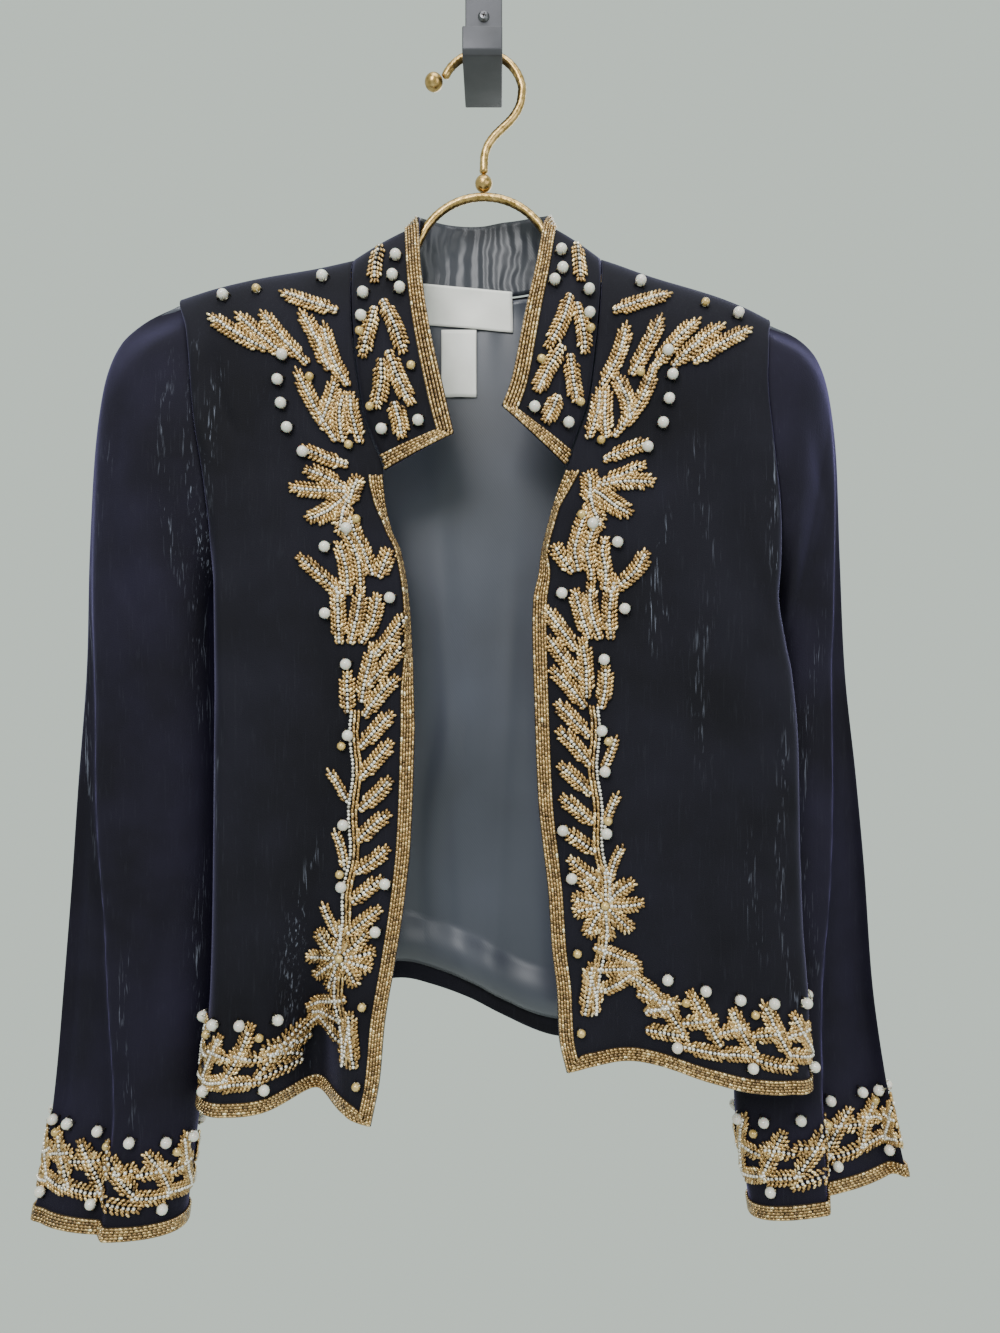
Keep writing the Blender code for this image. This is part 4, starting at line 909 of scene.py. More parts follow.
@dataclass
class Lining(ClothSurface):
    """The back lining, which hangs inside the back and bags over its own hem."""

    back: BackPanel
    reach: float = 118.0
    depth: float = 4.2
    short: float = 13.0
    bag: float = 9.0
    bag_height: float = 34.0
    facing: int = -1

    def place(self, u: Array, v: Array) -> Array:
        """Points of the lining's visible face.

        Args:
            u: first length along the cloth.
            v: second length along the cloth.

        Returns:
            Points in millimetres.
        """
        x, down = np.broadcast_arrays(np.asarray(u, float), np.asarray(v, float))
        end = self.back.hem_down(x) - self.short
        above = np.clip((end - down) / self.bag_height, 0, 3)
        pouch = self.bag * np.sin(pi * np.clip(above, 0, 1)) ** 0.8 * (1 - 0.35 * np.clip(above, 0, 1))
        waves = 1.5 * np.sin(x / 17 + 0.8) * smooth_step((down - 560) / 120)
        neck = self.back.neck_down(np.clip(x, -80, 74))
        gather = 1.3 * np.sin(x / 3.4 + 0.6 * np.sin(x / 11)) * np.exp(-np.maximum(down - neck, 0) / 14)
        lift = self.depth + 1.0 + pouch + waves + gather
        for middle, lean, width, deep, start in LINING_RIDGES:
            off = x - middle - lean * (down - 300)
            lift = lift + deep * np.exp(-((off / width) ** 2)) * smooth_step((down - start) / 200)
        return self.back.at(x, down, -lift)

    def cover(self, share_u: Array, share_v: Array) -> tuple[Array, Array]:
        """Places that cover the lining from under the collar to its own hem.

        Args:
            share_u: shares across, from 0 to 1.
            share_v: shares down, from 0 to 1.

        Returns:
            The lengths u and v of each place.
        """
        x = (2 * share_u - 1) * self.reach
        neck = self.back.neck_down(np.clip(x, -88, 81)) + 2.0
        slope = 190 + 0.9 * (np.abs(x) - 70)
        top = np.where(np.abs(x) > 70, np.maximum(neck, slope), neck)
        low = self.back.hem_down(x) - self.short
        return x, top + (low - top) * share_v


WHITE_PEARL = 4.0
SMALL_PEARL = 3.1
VINE_PITCH = 19.5
GARLAND_PITCH = 21.0

# Single pearls by radius. On the fronts: length from the free edge, and depth under the notch or
# height over the corner. On each side of the collar: length from the notch, and height over the seam.
PEARLS_UNDER_NOTCH = {
    WHITE_PEARL: ((54, 49), (34, 37), (60, 92), (18, 82), (46, 125), (43, 171)),
    SMALL_PEARL: ((25, 31), (30, -61), (16, -17), (47, 178)),
}
PEARLS_OVER_CORNER = {
    WHITE_PEARL: ((44, 196), (42, 156), (14, 158), (16, 127)),
    SMALL_PEARL: ((14, 26), (16, 78), (44, 164), (36, 109)),
}
COLLAR_PEARLS = {
    WHITE_PEARL: ((132, 33), (121, 30), (112, 34), (112, 10), (97, 8), (24, 9), (22, 31)),
    SMALL_PEARL: ((88, 6), (62, 34), (40, 6)),
}


@dataclass(frozen=True)
class LeafPlan:
    """A beaded leaf: its foot, heading, length and width in its panel's two lengths."""

    u: float
    v: float
    angle: float
    length: float
    width: float


def vary(number: float) -> float:
    """A steady but uneven value from -1 to 1 for each number, for handwork that isn't quite regular."""
    return 2 * math.modf(abs(math.sin(number * 12.9898) * 437.585))[0] - 1


@dataclass
class Beadwork:
    """Leaves, stems and pearls laid out by rule on one piece."""

    leaves: list[LeafPlan] = field(default_factory=list)
    stems: list[tuple[float, float, float, float]] = field(default_factory=list)
    pearls: list[tuple[float, float, float]] = field(default_factory=list)

    def leaf(self, u: float, v: float, angle: float, length: float, width: float = 11.5) -> None:
        """Add a leaf; angle 0 points along u and 90 along v.

        Args:
            u: the foot's first length.
            v: the foot's second length.
            angle: heading in degrees: 0 along u, 90 along v.
            length: its length.
            width: its width.
        """
        number = len(self.leaves) + 1
        turn = math.radians(angle + 5.0 * vary(number))
        self.leaves.append(LeafPlan(u, v, turn, length * (1 + 0.05 * vary(number + 0.5)), width))

    def stem(self, u0: float, v0: float, u1: float, v1: float) -> None:
        """Add a line of round beads."""
        self.stems.append((u0, v0, u1, v1))

    def pearl(self, u: float, v: float, radius: float = WHITE_PEARL) -> None:
        """Add a set pearl."""
        self.pearls.append((u, v, radius))

    def scatter(self, pearls: dict[float, tuple], place: Callable) -> None:
        """Add pearls from a table by radius.

        Args:
            pearls: for each radius, pairs of lengths.
            place: turns such a pair to the panel's two lengths.
        """
        for radius, pairs in pearls.items():
            for pair in pairs:
                self.pearl(*place(*pair), radius)

    def fan(self, u: float, v: float, first: float, last: float, count: int, length: float,
            hole: float = 3.0) -> None:
        """Add leaves from one middle, longest at the middle of the fan.

        Args:
            u: the middle's first length.
            v: the middle's second length.
            first: heading of the first leaf, in degrees.
            last: heading of the last leaf.
            count: how many leaves.
            length: length of the longest leaf.
            hole: how far from the middle the leaves start.
        """
        for i in range(count):
            share = i / max(count - 1, 1)
            angle = first + (last - first) * share
            turn = math.radians(angle)
            own = length * (0.84 + 0.16 * math.sin(pi * share))
            self.leaf(u + hole * math.cos(turn), v + hole * math.sin(turn), angle, own)

    def hem_band(self, start: float, end: float, hem_down, lift: float = 0.0) -> None:
        """Add a garland of leaning and lying leaves over a hem, with pearls under it and over it.

        Args:
            start: first length along the hem.
            end: last length along the hem.
            hem_down: a function that gives the hem's depth at a length.
            lift: how much higher than usual the garland stands.
        """
        count = int(round((end - start) / GARLAND_PITCH))
        pitch = (end - start) / count
        for i in range(count):
            s = start + pitch * (i + 0.5)
            down = float(hem_down(s)) - lift
            self.leaf(s + 11, down - 24, -122 + 8 * vary(i), 38 + 5 * vary(i + 0.4))
            self.leaf(s - 13, down - 25 + 2 * vary(i + 0.7), 5 + 7 * vary(i + 0.2), 27)
            self.leaf(s - 12, down - 38, -12, 22)
            self.pearl(s + 3, down - 60)
            if i % 2 == 0:
                self.pearl(s + 6, down - 16)
            else:
                self.pearl(s - 9, down - 52, SMALL_PEARL)

    @classmethod
    def for_front(cls, panel: FrontPanel) -> Beadwork:
        """Shoulder leaves, chest hands, vine, star and hem garland of one front.

        Args:
            panel: the front.

        Returns:
            The plan.
        """
        work = cls()
        notch, corner = panel.notch_down, panel.corner_down
        work.add_shoulder(panel)
        work.add_chest(notch)
        work.add_vine(notch + 119, corner - 125)
        work.add_corner(corner)
        work.hem_band(60, float(panel.width(corner)) - 4, panel.hem_down)
        work.scatter(PEARLS_UNDER_NOTCH, lambda s, drop: (s, notch + drop))
        work.scatter(PEARLS_OVER_CORNER, lambda s, rise: (s, corner - rise))
        return work

    def add_shoulder(self, panel: FrontPanel) -> None:
        """Add the leaves that hang from one shoulder, and the pearls among them.

        Args:
            panel: the front.
        """
        shoulder, edge = SHOULDER[panel.side], panel.neck_out - 4
        for i in range(4):
            out = 140 - 13 * i
            self.leaf(out - edge, float(shoulder.at("down", out)) + 63 + 7 * i, -36 - 10 * i, 45)
        self.leaf(8, panel.neck_down + 48, -25, 41)
        self.leaf(6, panel.neck_down + 97, -74, 46)
        for out, radius in ((102, WHITE_PEARL), (146, SMALL_PEARL), (168, WHITE_PEARL)):
            self.pearl(out - edge, float(shoulder.at("down", out)) + 20, radius)

    def add_chest(self, notch: float) -> None:
        """Add the two hands of leaves at the notch and the two sheaves under them.

        Args:
            notch: depth of the notch.
        """
        self.leaf(23, notch - 19, -70, 49)
        for i in range(3):
            self.leaf(30 - 11 * i, notch - 30 + 12 * min(i, 1), -119 + 12 * i, 35)
        self.fan(21, notch + 13, -30, 58, 4, 36, 4.0)
        self.leaf(22, notch - 4, -28, 27)
        self.leaf(25, notch + 21, -121, 22)
        for i in range(3):
            self.leaf(45 - 9 * i, notch + 80 - 6 * i, -94 + 2 * i, 36 + 4 * i)
        self.leaf(48, notch + 82, -47, 38)
        self.leaf(24, notch + 69, -118, 23)
        for i in range(3):
            self.leaf(51 - 7 * i, notch + 112, -92 - 7 * i, 42 - 4 * i)
        for i in range(5):
            self.pearl(49 + 3 * vary(i), notch - 75 + 15.6 * i)

    def add_vine(self, top: float, end: float) -> None:
        """Add the climbing vine: wide leaves on the edge's side and narrow ones on the other.

        Args:
            top: depth of its upper end.
            end: depth of its lower end.
        """
        count = int(round((end - top) / VINE_PITCH)) + 1
        for i in range(count):
            share = i / (count - 1)
            u = 28 + 8 * min(1.0, i / 3) - 2 * share
            self.leaf(u, top + (end - top) * share, -125 - 17 * share, 36 - 11 * share)
        self.leaf(34, top + 31, -97, 38)
        self.leaf(43, top + 38, -82, 28)
        for i in range(3):
            self.leaf(42 - i, top + (end - top) * (0.53 + 0.24 * i), -62 - 7 * (i % 2), 27, 6.5)
        self.stem(39, top + 36, 37, end + 14)

    def add_corner(self, corner: float) -> None:
        """Add the star over the front corner and the sheaf that falls from it.

        Args:
            corner: depth of the corner.
        """
        self.fan(36, corner - 109, -165, 165, 9, 23)
        for i in range(3):
            self.leaf(27, corner - 82 + 15 * i, 24 - 26 * i, 33 - 3 * i)
            self.leaf(48 + 5 * i, corner - 62 + 13 * i, 40 - 34 * i, 26)
        self.leaf(17, corner - 37, -78, 37)
        self.leaf(25, corner - 38, -96, 30)
        self.stem(35, corner - 96, 21, corner - 34)

    @classmethod
    def for_collar(cls, collar: Collar) -> Beadwork:
        """Pairs of leaves that hang down each side of the collar, and pearls.

        Args:
            collar: the collar.

        Returns:
            The plan.
        """
        work = cls()
        for side in Side:
            right = side is Side.RIGHT
            heading, lean = (180, -1) if right else (0, 1)

            def along(distance: float, right: bool = right) -> float:
                """Length round the collar from this side's notch."""
                return distance if right else collar.length - distance

            for i in range(2):
                distance = 106 - 33 * i
                work.leaf(along(distance), 22, heading + lean * 17, 37)
                work.leaf(along(distance - 4), 17, heading - lean * 17, 33)
            work.leaf(along(40), 20, heading, 26)
            work.leaf(along(143), 22, heading - lean * 10, 26)
            work.scatter(COLLAR_PEARLS, lambda distance, across: (along(distance), across))
        return work

    @classmethod
    def for_sleeve(cls, sleeve: Sleeve) -> Beadwork:
        """The band of leaves round a cuff.

        Args:
            sleeve: the sleeve.

        Returns:
            The plan.
        """
        work = cls()
        half = sleeve.round / 2
        work.hem_band(-half + 4, half - 4, lambda s: sleeve.length, 3.0)
        return work

    @classmethod
    def for_back(cls, back: BackPanel) -> Beadwork:
        """The hem band of the back, and the pearls that come over the shoulders.

        Args:
            back: the back.

        Returns:
            The plan.
        """
        work = cls()
        for side in Side:
            neck = back.right_neck if side is Side.RIGHT else back.left_neck
            for i in range(4):
                out = neck + 14 + 21 * i
                work.pearl(side.value * out, float(SHOULDER[side].at("down", out)) + 7)
        start = -float(back.width(Side.RIGHT, 720)) + 8
        work.hem_band(start, float(back.width(Side.LEFT, 720)) - 8, back.hem_down)
        return work


def linear(hex_colour: str) -> tuple[float, float, float, float]:
    """Turn an sRGB hex colour to the linear values a shader takes.

    Args:
        hex_colour: six hex digits after a hash.

    Returns:
        Red, green, blue and an alpha of 1.
    """
    parts = [int(hex_colour[i:i + 2], 16) / 255 for i in (1, 3, 5)]
    turned = [c / 12.92 if c <= 0.04045 else ((c + 0.055) / 1.055) ** 2.4 for c in parts]
    return turned[0], turned[1], turned[2], 1.0


def plug(node: bpy.types.Node, inputs: dict) -> None:
    """Give a node's inputs their values or their links.

    Args:
        node: the node.
        inputs: values or output sockets for its inputs, by name or number.
    """
    for name, value in inputs.items():
        if isinstance(value, bpy.types.NodeSocket):
            node.id_data.links.new(value, node.inputs[name])
        else:
            node.inputs[name].default_value = value


def add_node(tree: bpy.types.NodeTree, kind: str, inputs: dict | None = None, stops: tuple = (),
             **settings) -> bpy.types.Node:
    """Add a shader node with its settings and links.

    Args:
        tree: the material's node tree.
        kind: the node's type, without ShaderNode at its start.
        inputs: values or output sockets for its inputs, by name or number.
        stops: pairs of a place and a hex colour, for a node that has a ramp.
        settings: properties of the node itself.

    Returns:
        The new node.
    """
    node = tree.nodes.new("ShaderNode" + kind)
    for name, value in settings.items():
        setattr(node, name, value)
    plug(node, inputs or {})
    if stops:
        elements = node.color_ramp.elements
        while len(elements) < len(stops):
            elements.new(0.5)
        for element, (place, colour) in zip(elements, stops):
            element.position = place
            element.color = linear(colour)
    return node


def start_material(name: str, values: dict) -> tuple[bpy.types.Material, bpy.types.NodeTree, bpy.types.Node]:
    """Start a material with what its shader holds everywhere.

    Args:
        name: the material's name.
        values: uniform values of the shader's inputs, by name.

    Returns:
        The material, its node tree and its shader.
    """
    material = bpy.data.materials.new(name)
    material.use_nodes = True
    shader = material.node_tree.nodes["Principled BSDF"]
    plug(shader, values)
    return material, material.node_tree, shader


@dataclass(frozen=True)
class Velvet:
    """Silk velvet: a near-black cut pile that is dull face on and shines at grazing angles."""

    name: str = "silk_velvet"
    deep: str = "#0a0910"
    worn: str = "#15141e"
    sheen: str = "#9a95c6"
    sheen_weight: float = 0.42
    # Light colour of the crushed-pile streaks, partly a painted sheen highlight.
    crush_sheen_colour: str = "#7b8090"
    pile_mm: float = 0.9
    streak_mm: float = 1.3

    def build(self) -> bpy.types.Material:
        """Make the material, with patches of turned nap and fine crushed streaks that are partly a painted
        sheen highlight.

        Returns:
            The new material.
        """
        uniform = {"Roughness": 0.82, "Specular IOR Level": 0.18, "Sheen Roughness": 0.32}
        uniform |= {"Sheen Weight": self.sheen_weight, "Sheen Tint": linear(self.sheen)}
        material, tree, shader = start_material(self.name, uniform)
        place = add_node(tree, "TexCoord").outputs["Object"]
        # Broad patches where the pile leans another way and looks a little lighter.
        patches = add_node(tree, "TexNoise", {"Vector": place, "Scale": 14.0, "Detail": 4.0})
        stops = ((0.35, self.deep), (0.70, self.worn))
        base = add_node(tree, "ValToRGB", {"Fac": patches.outputs["Fac"]}, stops)
        # Long thin streaks of crushed pile run down the cloth where the attribute asks for them; their light
        # colour is partly the crushed pile and partly a painted sheen highlight.
        tall = add_node(tree, "Mapping", {"Vector": place, "Scale": (1.0, 1.0, 0.07)})
        fine = {"Vector": tall.outputs["Vector"], "Scale": 1.0 / (self.streak_mm * MM)}
        lines = add_node(tree, "TexNoise", fine | {"Detail": 3.0, "Distortion": 0.6})
        only = {"Value": lines.outputs["Fac"], "From Min": 0.58, "From Max": 0.72}
        sharp = add_node(tree, "MapRange", only)
        crush = add_node(tree, "Attribute", attribute_name="crush")
        both = {0: sharp.outputs["Result"], 1: crush.outputs["Fac"]}
        amount = add_node(tree, "Math", both, operation="MULTIPLY")
        colours = {0: amount.outputs["Value"], 6: base.outputs["Color"], 7: linear(self.crush_sheen_colour)}
        mixed = add_node(tree, "Mix", colours, data_type="RGBA")
        # The pile itself, as fine grain in the bump.
        grain = {"Vector": place, "Scale": 1.0 / (self.pile_mm * MM), "Detail": 2.0}
        pile = add_node(tree, "TexNoise", grain)
        raised = {"Height": pile.outputs["Fac"], "Strength": 0.35, "Distance": 0.0006}
        bump = add_node(tree, "Bump", raised)
        plug(shader, {"Base Color": mixed.outputs[2], "Normal": bump.outputs["Normal"]})
        return material


@dataclass(frozen=True)
class Satin:
    """Acetate satin lining: a smooth charcoal weave with a soft broad gloss."""

    name: str = "satin_lining"
    dark: str = "#383b45"
    light: str = "#474b58"
    thread_mm: float = 0.7
    gather: float = 0.0

    def build(self) -> bpy.types.Material:
        """Make the material, with a fine diagonal weave and faint tonal change.

        Returns:
            The new material.
        """
        uniform = {"Roughness": 0.38, "Sheen Weight": 0.15, "Sheen Roughness": 0.4}
        material, tree, shader = start_material(self.name, uniform)
        place = add_node(tree, "TexCoord").outputs["Object"]
        patches = add_node(tree, "TexNoise", {"Vector": place, "Scale": 9.0, "Detail": 3.0})
        stops = ((0.3, self.dark), (0.7, self.light))
        base = add_node(tree, "ValToRGB", {"Fac": patches.outputs["Fac"]}, stops)
        # Threads drawn at 0.7 mm, coarser than the real weave, so that they show. A wave texture
        # repeats every 0.314 over its scale.
        slant = {"Vector": place, "Rotation": (0.0, math.radians(35), 0.0)}
        turned = add_node(tree, "Mapping", slant)
        threads = {"Vector": turned.outputs["Vector"], "Scale": 0.314 / (self.thread_mm * MM) / 2}
        weave = add_node(tree, "TexWave", threads | {"Distortion": 0.4})
        woven = {"Height": weave.outputs["Fac"], "Strength": 0.12, "Distance": 0.0002}
        bump = add_node(tree, "Bump", woven)
        # Gathers that run down from the neck's edge, about 9 mm apart and uneven.
        uneven = {"Vector": place, "Scale": 35.0, "Distortion": 5.0, "Detail": 2.0}
        ridges = add_node(tree, "TexWave", uneven)
        pulled = {"Height": ridges.outputs["Fac"], "Strength": self.gather, "Distance": 0.003}
        gathers = add_node(tree, "Bump", pulled | {"Normal": bump.outputs["Normal"]})
        plug(shader, {"Base Color": base.outputs["Color"], "Normal": gathers.outputs["Normal"]})
        return material


@dataclass(frozen=True)
class GlassBead:
    """Small glass beads whose tone changes from bead to bead, lined or plated inside."""

    name: str
    stops: tuple
    metallic: float = 0.75
    roughness: float = 0.2

    def build(self) -> bpy.types.Material:
        """Make the material, which reads each bead's own tone from an attribute.

        Returns:
            The new material.
        """
        uniform = {"Metallic": self.metallic, "Roughness": self.roughness}
        uniform |= {"Coat Weight": 0.5, "Coat Roughness": 0.08}
        material, tree, shader = start_material(self.name, uniform)
        tone = add_node(tree, "Attribute", attribute_name="tone")
        base = add_node(tree, "ValToRGB", {"Fac": tone.outputs["Fac"]}, self.stops)
        plug(shader, {"Base Color": base.outputs["Color"]})
        return material


@dataclass(frozen=True)
class HammeredGold:
    """Gold plated steel rod, lightly hammered, with a satin shine."""

    name: str = "hammered_gold"
    deep: str = "#8f7442"
    bright: str = "#cfae74"
    dimple_mm: float = 3.2

    def build(self) -> bpy.types.Material:
        """Make the material, with shallow dimples whose middles are coloured a little darker.

        Returns:
            The new material.
        """
        material, tree, shader = start_material(self.name, {"Metallic": 1.0, "Roughness": 0.3})
        place = add_node(tree, "TexCoord").outputs["Object"]
        dimples = {"Vector": place, "Scale": 1.0 / (self.dimple_mm * MM)}
        cells = add_node(tree, "TexVoronoi", dimples, feature="SMOOTH_F1")
        stops = ((0.1, self.deep), (0.7, self.bright))
        base = add_node(tree, "ValToRGB", {"Fac": cells.outputs["Distance"]}, stops)
        beaten = {"Height": cells.outputs["Distance"], "Strength": 0.5, "Distance": 0.0005}
        bump = add_node(tree, "Bump", beaten)
        plug(shader, {"Base Color": base.outputs["Color"], "Normal": bump.outputs["Normal"]})
        return material


@dataclass(frozen=True)
class Plain:
    """A finish of one colour with fine mottling and grain, for paint, pearl, tape and label."""

    name: str
    colour: str
    second: str
    roughness: float = 0.5
    metallic: float = 0.0
    grain_mm: float = 0.8
    bump: float = 0.2
    coat: float = 0.0
    subsurface: float = 0.0

    def build(self) -> bpy.types.Material:
        """Make the material.

        Returns:
            The new material.
        """
        uniform = {"Roughness": self.roughness, "Metallic": self.metallic, "Coat Weight": self.coat}
        uniform |= {"Subsurface Weight": self.subsurface, "Subsurface Scale": 0.002}
        material, tree, shader = start_material(self.name, uniform)
        place = add_node(tree, "TexCoord").outputs["Object"]
        patches = add_node(tree, "TexNoise", {"Vector": place, "Scale": 60.0, "Detail": 3.0})
        stops = ((0.3, self.colour), (0.7, self.second))
        base = add_node(tree, "ValToRGB", {"Fac": patches.outputs["Fac"]}, stops)
        fine = {"Vector": place, "Scale": 1.0 / (self.grain_mm * MM)}
        grain = add_node(tree, "TexNoise", fine)
        raised = {"Height": grain.outputs["Fac"], "Strength": self.bump, "Distance": 0.0002}
        bump = add_node(tree, "Bump", raised)
        plug(shader, {"Base Color": base.outputs["Color"], "Normal": bump.outputs["Normal"]})
        return material


class Finish(Enum):
    """The finishes of the blazer, hanger and hook."""

    VELVET = Velvet()
    # The sleeves are the body's velvet in a lighter, bluer copy: painted sheen where light glows on the
    # sleeves.
    SLEEVE_VELVET = Velvet("sleeve_velvet", "#0d0b15", "#191626", sheen="#8f84cc", sheen_weight=0.5)
    SATIN = Satin()
    # The collar's inside is the lining satin made darker: painted shade under the collar, with stronger
    # gathers.
    COLLAR_SATIN_PAINTED_SHADE = Satin("collar_satin_painted_shade", "#282a32", "#343741", gather=0.3)
    LEAF_GOLD = GlassBead(
        "gold_beads", ((0.0, "#5a4324"), (0.35, "#92713f"), (0.7, "#c6a267"), (1.0, "#f2dcae"))
    )
    LEAF_SILVER = GlassBead(
        "silver_beads", ((0.0, "#9a958c"), (0.5, "#dcd8ce"), (1.0, "#fbf8f0")), metallic=0.45, roughness=0.2
    )
    TRIM_BRONZE = GlassBead(
        "bronze_bugles", ((0.0, "#6b5231"), (0.4, "#a08050"), (0.75, "#cfb07a"), (1.0, "#f8ebc4"))
    )
    PEARL = Plain("pearl", "#d8d5cb", "#c6c2b8", 0.22, 0.0, 3.0, 0.02, 0.6, 0.2)
    PEARL_GOLD = Plain("gold_pearl", "#d3b878", "#b99a55", 0.25, 0.35, 3.0, 0.02, 0.6)
    CLAW = Plain("claw_metal", "#c9c2b2", "#9a907a", 0.28, 1.0, 1.0, 0.1)
    TAPE = Plain("bead_tape", "#1a120c", "#241a12", 0.9)
    LABEL = Plain("label_satin", "#fbfaf5", "#f2f0ea", 0.6, 0.0, 0.5, 0.25)
    HANGER = HammeredGold()
    HOOK = Plain("hook_powder_coat", "#3f3f44", "#4a4a50", 0.48, 0.35, 0.5, 0.25)
    SCREW = Plain("screw_steel", "#6a6a6e", "#4a4a4e", 0.35, 1.0, 1.0, 0.1)
    FLOOR = Plain("pale_floor", "#d9ddd8", "#d3d8d2", 0.8, 0.0, 20.0, 0.05)


class Wardrobe:
    """Makes each finish once and hands it out."""

    def __init__(self) -> None:
        """Start with no material made."""
        self.made: dict[Finish, bpy.types.Material] = {}

    def get(self, finish: Finish) -> bpy.types.Material:
        """The material of a finish.

        Args:
            finish: the finish.

        Returns:
            The material.
        """
        if finish not in self.made:
            self.made[finish] = finish.value.build()
        return self.made[finish]


WARDROBE = Wardrobe()


def link_mesh(name: str, mesh: bpy.types.Mesh, finish: Finish) -> bpy.types.Object:
    """Put a mesh in the scene as a piece that rides on the part's one body.

    Args:
        name: the piece's name.
        mesh: its mesh, in metres and in place.
        finish: its finish.

    Returns:
        The new object.
    """
    piece = bpy.data.objects.new(name, mesh)
    bpy.context.scene.collection.objects.link(piece)
    piece.data.materials.append(WARDROBE.get(finish))
    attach(piece, BODY)
    return piece


def from_bmesh(name: str, mesh: bmesh.types.BMesh, smooth: bool = True) -> bpy.types.Mesh:
    """Turn a bmesh to a mesh and free it.

    Args:
        name: the piece's name.
        mesh: the bmesh, in metres.
        smooth: whether faces are shaded smooth.

    Returns:
        The mesh.
    """
    data = bpy.data.meshes.new(name)
    mesh.to_mesh(data)
    mesh.free()
    if smooth:
        data.shade_smooth()
    return data


def lay_grid(counts: tuple[int, int], lay: Callable) -> bmesh.types.BMesh:
    """Make a grid of squares and lay it where a function puts it.

    Args:
        counts: how many squares each way.
        lay: gives points in millimetres for two arrays of shares from 0 to 1.

    Returns:
        The grid, in metres.
    """
    grid = bmesh.new()
    bmesh.ops.create_grid(grid, x_segments=counts[0], y_segments=counts[1], size=0.5)
    shares = np.clip(np.array([vert.co[:2] for vert in grid.verts]) + 0.5, 0, 1)
    for vert, point in zip(grid.verts, lay(shares[:, 0], shares[:, 1]) * MM):
        vert.co = point
    return grid


def add_wall(piece: bpy.types.Object, thick: float, inside: Finish | None = None) -> None:
    """Give a sheet its wall, inwards from its outer face.

    Args:
        piece: the sheet.
        thick: the wall, in millimetres.
        inside: finish of the inner face where it differs.
    """
    wall = piece.modifiers.new("wall", "SOLIDIFY")
    wall.thickness = thick * MM
    wall.offset = -1.0
    if inside:
        piece.data.materials.append(WARDROBE.get(inside))
        wall.material_offset = 1


@dataclass
class ClothMaker:
    """Makes a thin shell on a cloth surface."""

    surface: ClothSurface
    thick: float = 1.5
    closed: bool = False

    def build(self, name: str, counts: tuple[int, int], slot: str, outside: Finish,
              inside: Finish) -> bpy.types.Object:
        """Lay a grid on the surface and give it its wall.

        Args:
            name: the piece's name.
            counts: how many squares along u and v.
            slot: a material slot's name; not used.
            outside: finish of the outer face.
            inside: finish of the inner face.

        Returns:
            The new piece.
        """
        grid = lay_grid(counts, lambda a, b: self.surface.place(*self.surface.cover(a, b)))
        if self.closed:
            bmesh.ops.remove_doubles(grid, verts=grid.verts, dist=2e-5)
        if self.surface.facing < 0:
            bmesh.ops.reverse_faces(grid, faces=grid.faces)
        # Amount of crushed pile and painted sheen highlight at each point, read by the velvet.
        layer = grid.verts.layers.float.new("crush")
        amount = crushed_pile_and_sheen(np.array([vert.co[:] for vert in grid.verts]) / MM)
        for vert, value in zip(grid.verts, amount):
            vert[layer] = float(value)
        piece = link_mesh(name, from_bmesh(name, grid), outside)
        add_wall(piece, self.thick, inside)
        return piece


class Bead(Enum):
    """Shapes of bead, each a template of a few dozen faces: kind, length and width in mm."""

    ROUND = ("round", 2.6, 2.6)
    DROP = ("drop", 4.6, 2.35)
    BUGLE = ("bugle", 2.9, 2.0)

    def template(self) -> bmesh.types.BMesh:
        """Make the bead's own mesh, lying along X, with its middle at the origin.

        Returns:
            The mesh, in millimetres.
        """
        kind, length, width = self.value
        mesh = bmesh.new()
        if kind == "bugle":
            bmesh.ops.create_cone(
                mesh, cap_ends=True, segments=6, radius1=width / 2, radius2=width / 2, depth=length
            )
        else:
            bmesh.ops.create_uvsphere(mesh, u_segments=6, v_segments=3, radius=0.5)
        bmesh.ops.rotate(mesh, verts=mesh.verts, matrix=Matrix.Rotation(pi / 2, 3, "Y"))
        if kind != "bugle":
            bmesh.ops.scale(mesh, verts=mesh.verts, vec=(length, width, width))
        return mesh


@dataclass(frozen=True)
class Setting:
    """How a pearl of radius 1 is held: four bent claws over a cup."""

    claw_count: int = 4
    first_turn: float = 0.4
    claw_foot: float = 0.24
    claw_tip: float = 0.15
    claw_length: float = 1.2
    claw_place: tuple[float, float, float] = (0.98, 0.0, -0.2)
    claw_lean: float = -0.35
    cup_low: float = 0.72
    cup_high: float = 0.9
    cup_height: float = 0.35
    cup_place: tuple[float, float, float] = (0.0, 0.0, -0.78)

    def template(self) -> bmesh.types.BMesh:
        """Make the claws and the cup round a middle at the origin.

        Returns:
            The mesh.
        """
        mesh = bmesh.new()
        bent = Matrix.Translation(self.claw_place) @ Matrix.Rotation(self.claw_lean, 4, "Y")
        for i in range(self.claw_count):
            turn = Matrix.Rotation(2 * pi * i / self.claw_count + self.first_turn, 4, "Z")
            bmesh.ops.create_cone(
                mesh, cap_ends=True, segments=5, radius1=self.claw_foot, radius2=self.claw_tip,
                depth=self.claw_length, matrix=turn @ bent,
            )
        bmesh.ops.create_cone(
            mesh, cap_ends=True, segments=12, radius1=self.cup_low, radius2=self.cup_high,
            depth=self.cup_height, matrix=Matrix.Translation(self.cup_place),
        )
        return mesh


def pearl_ball() -> bmesh.types.BMesh:
    """A ball of radius 1 for a pearl.

    Returns:
        The ball.
    """
    ball = bmesh.new()
    bmesh.ops.create_uvsphere(ball, u_segments=16, v_segments=10, radius=1.0)
    return ball


